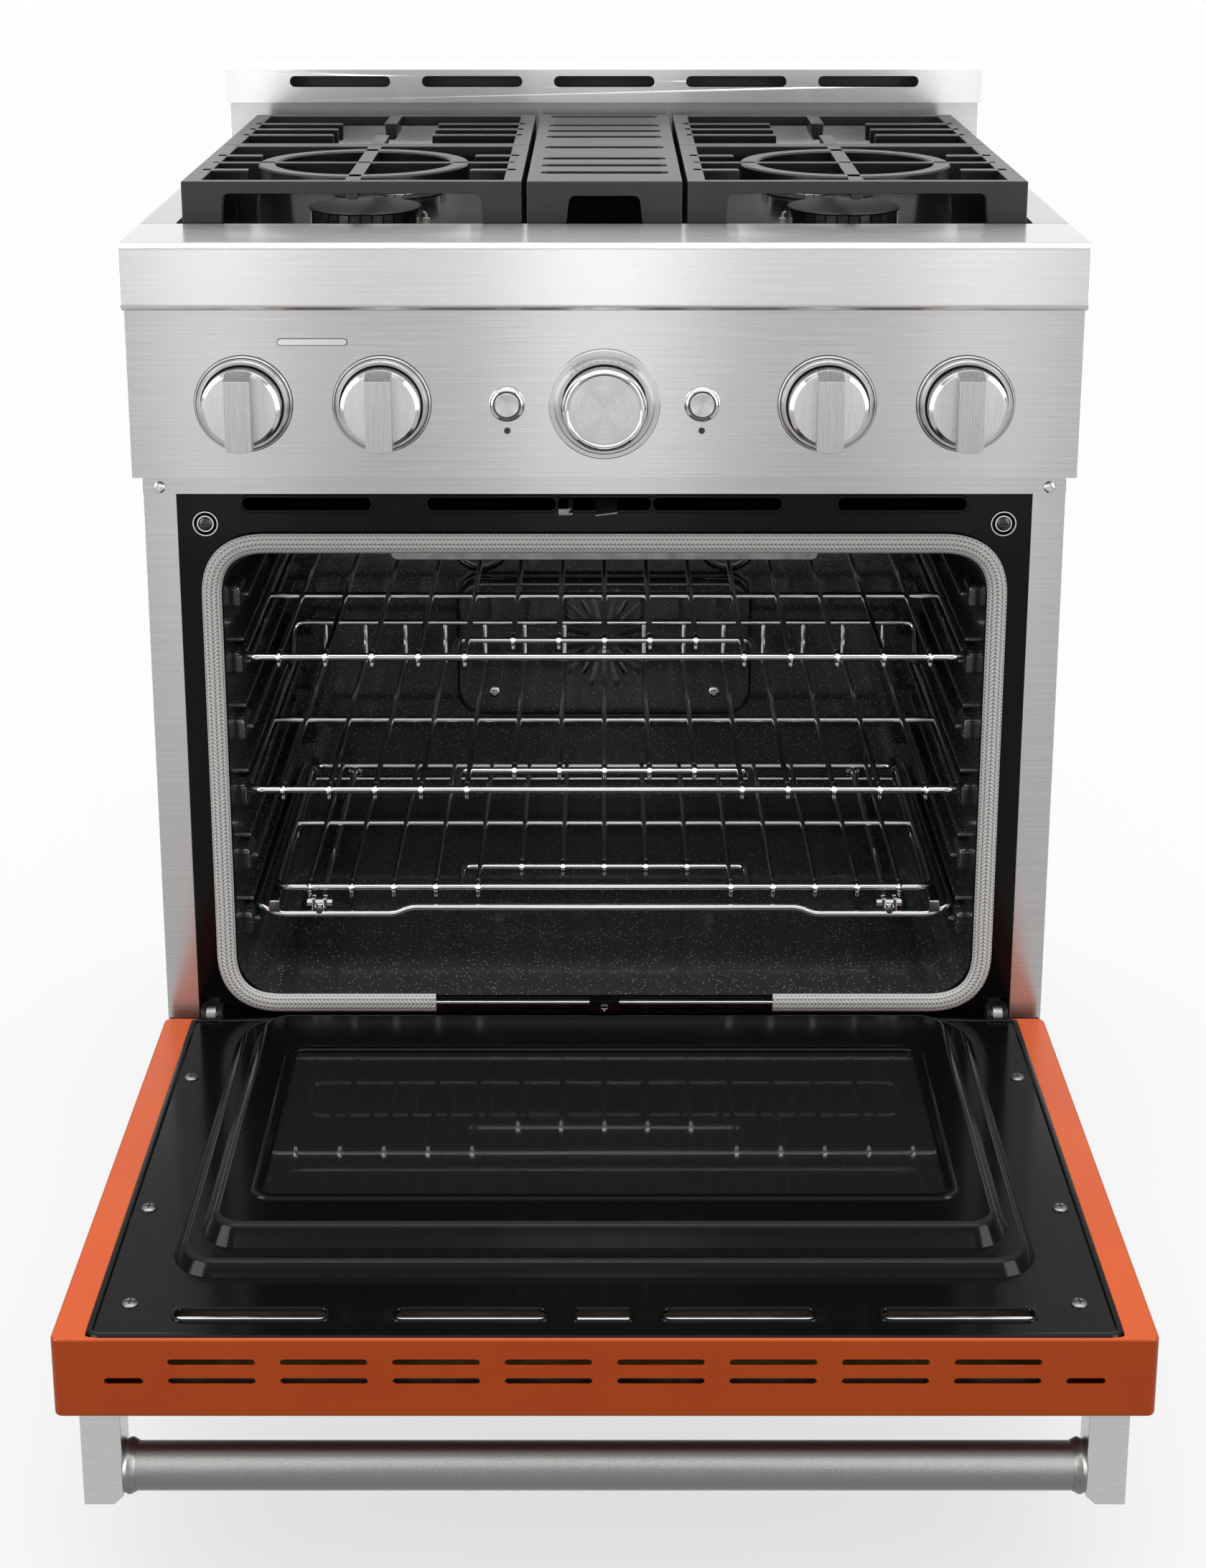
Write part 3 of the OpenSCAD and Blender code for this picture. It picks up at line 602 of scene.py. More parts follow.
@dataclass(frozen=True)
class Chrome(Finish):
    """Bright plate over polished metal: near-mirror, with a faint haze from wiping."""

    tone: str = "#d9dadb"
    roughness: Span = (0.06, 0.13)

    def paint(self, tree: bpy.types.NodeTree, skin: bpy.types.Node) -> None:
        """Adds the haze.

        Args:
            tree: the material's node tree.
            skin: its Principled shader.
        """
        place = add(tree, "TexCoord").outputs["Object"]
        haze = add(tree, "TexNoise", inputs={"Vector": place, "Scale": 60.0, "Detail": 5.0})
        tone = ramp(tree, haze.outputs[0], [(0.35, "#c4c5c6"), (0.65, self.tone)])
        tree.links.new(tone.outputs[0], skin.inputs["Base Color"])
        tree.links.new(spread(tree, haze.outputs[0], *self.roughness), skin.inputs["Roughness"])
        skin.inputs["Metallic"].default_value = 1.0


@dataclass(frozen=True)
class Porcelain(Finish):
    """Black porcelain enamel fired on steel: a glassy, slightly wavy coat with fine pale specks."""

    tone: str = "#0b0b0c"
    # cells per metre: specks 3 mm apart, coarser than the real ones, which wouldn't show
    specks: float = 330.0
    share: float = 0.5
    roughness: Span = (0.1, 0.2)
    speck: str = "#6d6d70"
    glaze: float = 0.5
    specular: float = 0.5

    def paint(self, tree: bpy.types.NodeTree, skin: bpy.types.Node) -> None:
        """Adds the specks, the gloss and the orange-peel of the fired coat.

        Args:
            tree: the material's node tree.
            skin: its Principled shader.
        """
        place = add(tree, "TexCoord").outputs["Object"]
        cells = add(tree, "TexVoronoi", inputs={"Vector": place, "Scale": self.specks})
        near = add(tree, "Math", {"operation": "LESS_THAN"}, {0: cells.outputs["Distance"], 1: 0.2})
        picked = add(tree, "Math", {"operation": "LESS_THAN"}, {0: cells.outputs["Color"], 1: self.share})
        dots = add(tree, "Math", {"operation": "MULTIPLY"}, {0: near.outputs[0], 1: picked.outputs[0]})
        tone = ramp(tree, dots.outputs[0], [(0.0, self.tone), (1.0, self.speck)])
        peel = add(tree, "TexNoise", inputs={"Vector": place, "Scale": 90.0, "Detail": 2.0})
        relief = add(tree, "Bump", inputs={"Height": peel.outputs[0], "Strength": 0.05, "Distance": 0.0008})
        for name, value in (("Base Color", tone.outputs[0]), ("Normal", relief.outputs[0]),
                            ("Roughness", spread(tree, peel.outputs[0], *self.roughness))):
            tree.links.new(value, skin.inputs[name])
        for name, value in (("IOR", 1.52), ("Coat Weight", self.glaze), ("Coat Roughness", 0.06),
                            ("Specular IOR Level", self.specular)):
            skin.inputs[name].default_value = value


@dataclass(frozen=True)
class CastIron(Finish):
    """Enamelled grey iron from a sand mould: pitted, matt, with slightly worn high spots."""

    tone: str = "#1b1b1c"
    worn: str = "#323234"
    roughness: Span = (0.42, 0.62)
    grit: float = 700.0  # grains per metre, about 1.4 mm
    bump: float = 0.35

    def paint(self, tree: bpy.types.NodeTree, skin: bpy.types.Node) -> None:
        """Adds the sand's grit and the wear.

        Args:
            tree: the material's node tree.
            skin: its Principled shader.
        """
        place = add(tree, "TexCoord").outputs["Object"]
        grit = add(tree, "TexNoise", inputs={"Vector": place, "Scale": self.grit, "Detail": 3.0,
                                             "Roughness": 0.6})
        wear = add(tree, "TexNoise", inputs={"Vector": place, "Scale": 30.0, "Detail": 5.0})
        tone = ramp(tree, wear.outputs[0], [(0.4, self.tone), (0.75, self.worn)])
        relief = add(tree, "Bump", inputs={"Height": grit.outputs[0], "Strength": self.bump,
                                           "Distance": 0.0006})
        for name, value in (("Base Color", tone.outputs[0]), ("Normal", relief.outputs[0]),
                            ("Roughness", spread(tree, grit.outputs[0], *self.roughness))):
            tree.links.new(value, skin.inputs[name])
        skin.inputs["IOR"].default_value = 1.5


@dataclass(frozen=True)
class PowderCoat(Finish):
    """Sprayed and baked orange coat: even colour, soft gloss and a fine orange-peel."""

    tone: str = "#d4560f"
    shade: str = "#cc4e0c"
    roughness: Span = (0.26, 0.34)

    def paint(self, tree: bpy.types.NodeTree, skin: bpy.types.Node) -> None:
        """Adds the peel and a trace of uneven colour.

        Args:
            tree: the material's node tree.
            skin: its Principled shader.
        """
        place = add(tree, "TexCoord").outputs["Object"]
        peel = add(tree, "TexNoise", inputs={"Vector": place, "Scale": 450.0, "Detail": 2.0})
        drift = add(tree, "TexNoise", inputs={"Vector": place, "Scale": 9.0, "Detail": 3.0})
        tone = ramp(tree, drift.outputs[0], [(0.3, self.shade), (0.7, self.tone)])
        relief = add(tree, "Bump", inputs={"Height": peel.outputs[0], "Strength": 0.06, "Distance": 0.0004})
        for name, value in (("Base Color", tone.outputs[0]), ("Normal", relief.outputs[0]),
                            ("Roughness", spread(tree, peel.outputs[0], *self.roughness))):
            tree.links.new(value, skin.inputs[name])
        skin.inputs["Specular IOR Level"].default_value = 0.3


@dataclass(frozen=True)
class KnittedGlass(Finish):
    """Knitted fibreglass rope: bright loops, with painted shade in the gaps between them, which give it a
    woollen sparkle.

    The real loops are about 1.5 mm apart, too fine to show, so they are drawn at 3.4 mm.
    """

    stitch: float = 3.4
    rows: float = 12.0

    def paint(self, tree: bpy.types.NodeTree, skin: bpy.types.Node) -> None:
        """Adds the stitches along the rope's own map.

        Args:
            tree: the material's node tree.
            skin: its Principled shader.
        """
        where = add(tree, "SeparateXYZ", inputs={0: add(tree, "UVMap", {"uv_map": "UVMap"}).outputs[0]})
        row = add(tree, "Math", {"operation": "MULTIPLY"}, {0: where.outputs[1], 1: self.rows})
        lean = add(tree, "Math", {"operation": "PINGPONG"}, {0: row.outputs[0], 1: 1.0})
        along = add(tree, "Math", {"operation": "MULTIPLY_ADD"},
                    {0: where.outputs[0], 1: 1 / self.stitch, 2: lean.outputs[0]})
        wave = add(tree, "Math", {"operation": "PINGPONG"}, {0: along.outputs[0], 1: 0.5})
        rib = add(tree, "Math", {"operation": "PINGPONG"}, {0: row.outputs[0], 1: 0.5})
        knit = add(tree, "Math", {"operation": "MULTIPLY"}, {0: wave.outputs[0], 1: rib.outputs[0]})
        # the first, dark stop is painted shade in the gaps between the loops; the pale stops are the fibre's
        # own colour
        tone = ramp(tree, knit.outputs[0], [(0.0, "#7c7c7a"), (0.04, "#e4e4e1"), (0.1, "#fbfbf8")])
        relief = add(tree, "Bump", inputs={"Height": knit.outputs[0], "Strength": 0.9, "Distance": 0.002})
        tree.links.new(tone.outputs[0], skin.inputs["Base Color"])
        tree.links.new(relief.outputs[0], skin.inputs["Normal"])
        for name, value in (("Roughness", 0.62), ("Sheen Weight", 0.3)):
            skin.inputs[name].default_value = value


@dataclass(frozen=True)
class Knurl(Finish):
    """Stainless bar rolled with a fine diamond knurl of 1.6 mm, its grooves painted dark as shade."""

    around: float = 66.0
    pitch: float = 1.6

    def paint(self, tree: bpy.types.NodeTree, skin: bpy.types.Node) -> None:
        """Adds two crossed sets of grooves on the bar's own map.

        Args:
            tree: the material's node tree.
            skin: its Principled shader.
        """
        where = add(tree, "SeparateXYZ", inputs={0: add(tree, "UVMap", {"uv_map": "UVMap"}).outputs[0]})
        turn = add(tree, "Math", {"operation": "MULTIPLY"}, {0: where.outputs[0], 1: self.around})
        waves = []
        for sign in (1, -1):
            along = add(tree, "Math", {"operation": "MULTIPLY_ADD"},
                        {0: where.outputs[1], 1: sign / self.pitch, 2: turn.outputs[0]})
            waves.append(add(tree, "Math", {"operation": "PINGPONG"}, {0: along.outputs[0],
                                                                       1: 0.5}).outputs[0])
        peaks = add(tree, "Math", {"operation": "MULTIPLY"}, {0: waves[0], 1: waves[1]}).outputs[0]
        # the dark first stop is painted shade in the grooves; the peaks keep the steel's own tone
        tone = ramp(tree, peaks, [(0.0, "#3c3c3b"), (0.12, "#b4b4b3")])
        relief = add(tree, "Bump", inputs={"Height": peaks, "Strength": 0.55, "Distance": 0.0012})
        tree.links.new(tone.outputs[0], skin.inputs["Base Color"])
        tree.links.new(relief.outputs[0], skin.inputs["Normal"])
        for name, value in (("Roughness", 0.3), ("Metallic", 1.0)):
            skin.inputs[name].default_value = value


@dataclass(frozen=True)
class Cloudy(Finish):
    """A plain finish whose tone and gloss drift a little: castings, galvanised sheet, plastic or wool."""

    light: str = "#9b9b98"
    dark: str = "#858582"
    scale: float = 60.0
    metal: float = 1.0
    roughness: Span = (0.35, 0.5)
    bump: float = 0.1

    def paint(self, tree: bpy.types.NodeTree, skin: bpy.types.Node) -> None:
        """Adds the drift and a light relief.

        Args:
            tree: the material's node tree.
            skin: its Principled shader.
        """
        place = add(tree, "TexCoord").outputs["Object"]
        cloud = add(tree, "TexNoise", inputs={"Vector": place, "Scale": self.scale, "Detail": 6.0,
                                              "Roughness": 0.6})
        tone = ramp(tree, cloud.outputs[0], [(0.35, self.dark), (0.65, self.light)])
        relief = add(tree, "Bump", inputs={"Height": cloud.outputs[0], "Strength": self.bump,
                                           "Distance": 0.001})
        for name, value in (("Base Color", tone.outputs[0]), ("Normal", relief.outputs[0]),
                            ("Roughness", spread(tree, cloud.outputs[0], *self.roughness))):
            tree.links.new(value, skin.inputs[name])
        skin.inputs["Metallic"].default_value = self.metal


@dataclass(frozen=True)
class DoorGlass(Finish):
    """Tempered soda-lime glass with a grey coat: dark, clear, and bright only where it mirrors light."""

    tone: str = "#5a5d5f"

    def paint(self, tree: bpy.types.NodeTree, skin: bpy.types.Node) -> None:
        """Adds a trace of wiping marks to the gloss.

        Args:
            tree: the material's node tree.
            skin: its Principled shader.
        """
        place = add(tree, "TexCoord").outputs["Object"]
        smear = add(tree, "TexNoise", inputs={"Vector": place, "Scale": 14.0, "Detail": 4.0})
        tree.links.new(spread(tree, smear.outputs[0], 0.0, 0.05), skin.inputs["Roughness"])
        for name, value in (("Base Color", linear(self.tone)), ("IOR", 1.52), ("Transmission Weight", 0.9),
                            ("Specular IOR Level", 0.25)):
            skin.inputs[name].default_value = value


STAINLESS = BrushedSteel("stainless_brushed_across")
STAINLESS_BRIGHT = BrushedSteel("stainless_brushed_rail", light="#dadad9", dark="#d0d0cf",
                                roughness=(0.22, 0.28))
STAINLESS_CAP = BrushedSteel("stainless_brushed_cap", light="#f2f2f1", dark="#ececeb", bump=0.0)
GRIP_STEEL = BrushedSteel("knob_grip_brushed_upright", light="#b4b4b3", dark="#a2a2a1",
                          grain=(1500.0, 900.0, 30.0), roughness=(0.2, 0.3), across=(1.0, 1.0, 0.0))
DISC_STEEL = BrushedSteel("knob_disc_brushed_upright", light="#c9c9c8", dark="#b9b9b8",
                          grain=(1500.0, 900.0, 30.0), roughness=(0.2, 0.3), across=(1.0, 1.0, 0.0))
SPUN = SpunSteel("steel_spun_face")
CHROME = Chrome("chrome_plate")
RACK_WIRE = Chrome("nickel_chrome_wire", tone="#c9cacb", roughness=(0.1, 0.2))
PORT_RING = Chrome("port_ring_polished", tone="#d2d3d4", roughness=(0.14, 0.24))
ENAMEL = Porcelain("black_porcelain_smooth", share=0.0, glaze=0.05, specular=0.12)
SPECKLED = Porcelain("black_porcelain_speckled", tone="#38383a", speck="#b4b4b8", glaze=0.3)
PAN_ENAMEL = Porcelain("black_porcelain_pan", tone="#08080a", share=0.0, glaze=0.1, specular=0.25)
IRON = CastIron("cast_iron_enamelled", tone="#0a0a0b", worn="#151516", roughness=(0.28, 0.4))
CAP_ENAMEL = CastIron("burner_cap_enamel", tone="#141415", worn="#1d1d1e", roughness=(0.3, 0.45), bump=0.1)
ORANGE = PowderCoat("orange_powder_coat")
ROPE = KnittedGlass("fibreglass_knitted_rope")
KNURLED = Knurl("stainless_knurled_bar")
CASTING = Cloudy("aluminium_die_cast", light="#b4b4b1", dark="#9a9a97", roughness=(0.3, 0.42))
GALVANISED = Cloudy("galvanised_sheet", light="#a9abab", dark="#8b8d8e", scale=25.0)
MILL_STEEL = Cloudy("mild_steel_plated", light="#8f8f8d", dark="#6f6f6d", roughness=(0.28, 0.42))
BLACK_STEEL = Cloudy("steel_black_oxide", light="#4a4a4b", dark="#39393a", roughness=(0.25, 0.35))
BRASS = Cloudy("brass_turned", light="#b8963f", dark="#a3832f", roughness=(0.22, 0.35))
WOOL = Cloudy("mineral_wool_batt", light="#cdbf86", dark="#a8995f", metal=0.0, roughness=(0.9, 1.0), bump=0.8)
PLASTIC = Cloudy("black_nylon_moulded", light="#1d1d1e", dark="#151516", metal=0.0, roughness=(0.4, 0.55))
CERAMIC = Cloudy("alumina_ceramic", light="#e4e0d6", dark="#d3cfc4", metal=0.0, roughness=(0.3, 0.45),
                 bump=0.05)
MARKING = Cloudy("etched_black_mark", light="#1a1a1a", dark="#121212", metal=0.0, roughness=(0.5, 0.6),
                 bump=0.0)
GLASS = DoorGlass("oven_door_glass")
DARK_GLASS = Porcelain("black_backed_glass", tone="#08090a", share=0.0, roughness=(0.02, 0.05))
LAMP_GLASS = Cloudy("frosted_lamp_glass", light="#8c8c88", dark="#77776f", metal=0.0, roughness=(0.1, 0.25),
                    bump=0.15)


class Kit:
    """Turns finished meshes into pieces that ride on the frame's bodies."""

    @staticmethod
    def piece(
        name: str, bm: BMesh, finish: Finish, slot: str, replaces: Sequence[str] = (),
        body: str = "range_body"
    ) -> bpy.types.Object:
        """Makes one piece from a mesh in millimetres.

        Args:
            name: the piece's name.
            bm: its mesh, used up.
            finish: what its surface is.
            slot: not used.
            replaces: the nodes that it stands for.
            body: the body it rides on.

        Returns:
            The piece.
        """
        bmesh.ops.scale(bm, vec=(MM, MM, MM), verts=bm.verts)
        limit = math.radians(38)
        for edge in bm.edges:
            edge.smooth = len(edge.link_faces) == 2 and edge.calc_face_angle(math.pi) < limit
        for face in bm.faces:
            face.smooth = True
        mesh = bpy.data.meshes.new(name)
        bm.to_mesh(mesh)
        bm.free()
        made = bpy.data.objects.new(name, mesh)
        bpy.context.scene.collection.objects.link(made)
        mesh.materials.append(finish.material())
        even = made.modifiers.new("even_normals", "WEIGHTED_NORMAL")
        even.keep_sharp = True
        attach(made, body)
        if replaces:
            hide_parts(*replaces)
        log.info("%s: %d faces on %s", name, len(mesh.polygons), body)
        return made

    @staticmethod
    def dress(finish: Finish, *nodes: str) -> None:
        """Gives nodes that keep their own shape a finish.

        Args:
            finish: the finish.
            nodes: names of the nodes.
        """
        for node in nodes:
            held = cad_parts[node]
            for place in held.material_slots:
                place.material = finish.material()
            log.info("%s: its own mesh in %s", node, finish.name)


def traced(node: str) -> BMesh:
    """A copy of a node's own mesh, merged, in millimetres and with its flat faces whole.

    Args:
        node: the CAD node's name.

    Returns:
        The copy's mesh.
    """
    bm = bmesh.new()
    bm.from_mesh(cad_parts[node].data)
    bmesh.ops.scale(bm, vec=(1 / MM, 1 / MM, 1 / MM), verts=bm.verts)
    bmesh.ops.remove_doubles(bm, verts=bm.verts, dist=0.01)
    bmesh.ops.dissolve_limit(bm, angle_limit=0.01, verts=bm.verts, edges=bm.edges)
    return bm


def shifted(bm: BMesh, x: float = 0.0, y: float = 0.0, z: float = 0.0) -> BMesh:
    """The same mesh, moved.

    Args:
        bm: the mesh to move.
        x: how far to the right.
        y: how far back.
        z: how far up.

    Returns:
        The mesh given.
    """
    bmesh.ops.translate(bm, vec=(x, y, z), verts=bm.verts)
    return bm


def turned(bm: BMesh, out: Vector, centre: Point) -> BMesh:
    """The same mesh, its Z turned to face a direction and its origin set at a centre.

    Args:
        bm: the mesh to turn.
        out: where its Z ends up pointing.
        centre: where its origin ends up.

    Returns:
        The mesh given.
    """
    turn = Vector((0, 0, 1)).rotation_difference(out).to_matrix().to_4x4()
    bmesh.ops.transform(bm, matrix=Matrix.Translation(centre) @ turn, verts=bm.verts)
    return bm


def wire(points: Sequence[Point], radius: float, bend: float = 10.0, closed: bool = False,
         sides: int = 8) -> BMesh:
    """A round wire bent through some corners.

    Args:
        points: the corners that it runs through.
        radius: half of its thickness.
        bend: radius of each bend.
        closed: join its last corner to the first.
        sides: flats around it.

    Returns:
        The wire's mesh.
    """
    return sweep(rounded_path(points, bend, 5, closed), (radius, radius), sides, closed)


def rim(a: Span, b: Span, h: float, radius: float, section: Span, axis: Axis) -> BMesh:
    """A rolled rim around a round-cornered opening.

    Args:
        a: span of the opening along the outline's first direction.
        b: span along its second direction.
        h: the rim's place along the axis.
        radius: the opening's corner radius.
        section: half the rim's width, and half its height.
        axis: the direction in which the opening faces.

    Returns:
        A closed ring.
    """
    corners = [(a[0], b[0], h), (a[1], b[0], h), (a[1], b[1], h), (a[0], b[1], h)]
    path = rounded_path([tuple(AXIS_FRAME[axis] @ Vector(c)) for c in corners], radius, 6, True)
    normal = (AXIS_FRAME[axis] @ Vector((0, 0, 1, 0))).to_3d()
    return sweep(path, section, 8, True, normal)


def screw(centre: Point, out: Vector, radius: float, height: float = 2.2) -> BMesh:
    """A pan-head screw with a cross recess.

    Args:
        centre: the middle of the face that it is driven into.
        out: the direction in which its head faces.
        radius: the head's radius.
        height: the head's height.

    Returns:
        A closed mesh.
    """
    head = lathe([(0, -0.4), (radius, -0.4), (radius, height * 0.4), (radius * 0.86, height * 0.8),
                  (radius * 0.6, height * 0.97), (0, height)], (0, 0, 0), Axis.Z, 28)
    arm, slot = radius * 0.58, radius * 0.13
    deep = (height * 0.35, height + 1)
    cross = carve(block((-arm, arm), (-slot, slot), deep), block((-slot, slot), (-arm, arm), deep),
                  union=True)
    return turned(carve(head, cross), out, centre)


FRONT = Vector((0, -1, 0))
UP = Vector((0, 0, 1))


# ---------------------------------------------------------------- sub-assemblies


@dataclass
class Cabinet:
    """The sheet cabinet: side panels, base, legs, back and the inlets behind."""

    fold: float = 1.2

    def shell(self) -> None:
        """Makes the side panels, back, base and legs with folded edges."""
        Kit.piece("side_panels_folded", soften(traced("side_panels"), 0.7, 2), STAINLESS, "stainless",
                  ["side_panels"])
        Kit.piece("base_frame_folded", soften(traced("base_frame"), self.fold), ENAMEL, "black_plastic",
                  ["base_frame"])
        Kit.piece("back_panel_folded", soften(traced("back_panel"), 0.5, 1), GALVANISED, "galvanised",
                  ["back_panel"])
        Kit.piece("leveling_legs_turned", soften(traced("leveling_legs"), self.fold, 3), MILL_STEEL,
                  "dull_steel", ["leveling_legs"])

    def inlets(self) -> None:
        """Dresses the gas and power inlets and the parts closed in behind the panels."""
        Kit.dress(CASTING, "gas_regulator")
        Kit.dress(PLASTIC, "power_gland", "switch_blocks")
        Kit.dress(BRASS, "gas_manifold")
        Kit.dress(WOOL, "oven_insulation", "door_insulation")
        Kit.dress(MILL_STEEL, "hinge_arms", "hinge_receivers", "stem_1", "stem_2", "stem_3", "stem_4")

    def build(self) -> None:
        """Makes the whole cabinet."""
        self.shell()
        self.inlets()


@dataclass
class Frontage:
    """Bullnose, control panel, trim strip and badge."""

    rail: Box = field(default_factory=lambda: Box.of("bullnose"))
    panel: Box = field(default_factory=lambda: Box.of("control_panel"))
    strip: Box = field(default_factory=lambda: Box.of("trim_strip"))
    badge: Box = field(default_factory=lambda: Box.of("badge_plate"))
    slits: tuple[float, ...] = (-265.6, -132.8, 0.0, 132.8, 265.6)
    slit_half: float = 48.0

    def sheets(self) -> None:
        """Makes the brushed sheets, their edges broken."""
        Kit.piece("bullnose_rail", soften(traced("bullnose"), 0.8, 2, 50), STAINLESS_BRIGHT, "stainless",
                  ["bullnose"])
        Kit.piece("control_panel_sheet", soften(traced("control_panel"), 1.0, 3), STAINLESS, "stainless",
                  ["control_panel"])

    def trim(self) -> None:
        """Makes the strip under the panel, with its slits."""
        top = self.strip.z[1]
        face = self.strip.y[0]
        half = self.slit_half
        Kit.piece("trim_strip_folded", soften(traced("trim_strip"), 0.5, 1), STAINLESS, "stainless",
                  ["trim_strip"])
        # thin matt black slabs in the slits: painted shade where the slits open into the dark
        slits = [round_slab((m - half, m + half), (top - 2.9, top - 0.7), (face - 0.15, face + 1), 1.0,
                            Axis.Y, 3)
                 for m in self.slits]
        Kit.piece("trim_strip_slit_shade", join(*slits), MARKING, "black_plastic")
        lips = [block((m - half + 1.5, m + half - 1.5), (face - 0.4, face + 0.4), (top - 3.7, top - 3.0), 0.2,
                      1)
                for m in self.slits]
        Kit.piece("trim_strip_slit_lips", join(*lips), CHROME, "chrome")

    def marks(self) -> None:
        """Makes the blank badge with its dark outline, and the lamp dots under the buttons."""
        x, z, face = self.badge.x, self.badge.z, self.badge.y[0]
        plate = soften(round_slab(x, z, (face, face + 1.2), 2.4, Axis.Y), 0.3, 1)
        Kit.piece("badge_plate_blank", plate, STAINLESS_BRIGHT, "chrome", ["badge_plate"])
        edge = rim((x[0] - 0.2, x[1] + 0.2), (z[0] - 0.2, z[1] + 0.2), face + 0.9, 2.6, (0.45, 0.4), Axis.Y)
        Kit.piece("badge_outline", edge, MARKING, "black_plastic")
        dots = []
        for node in ("button_left", "button_right"):
            spot = Box.of(node)
            dots.append(lathe([(0, -0.3), (1.3, -0.3), (1.3, 1), (0, 1)],
                              (spot.mid(0), self.panel.y[0], spot.mid(2) - 22), Axis.Y, 16))
        Kit.piece("lamp_dots", join(*dots), MARKING, "black_plastic")

    def build(self) -> None:
        """Makes the whole front above the oven."""
        self.sheets()
        self.trim()
        self.marks()


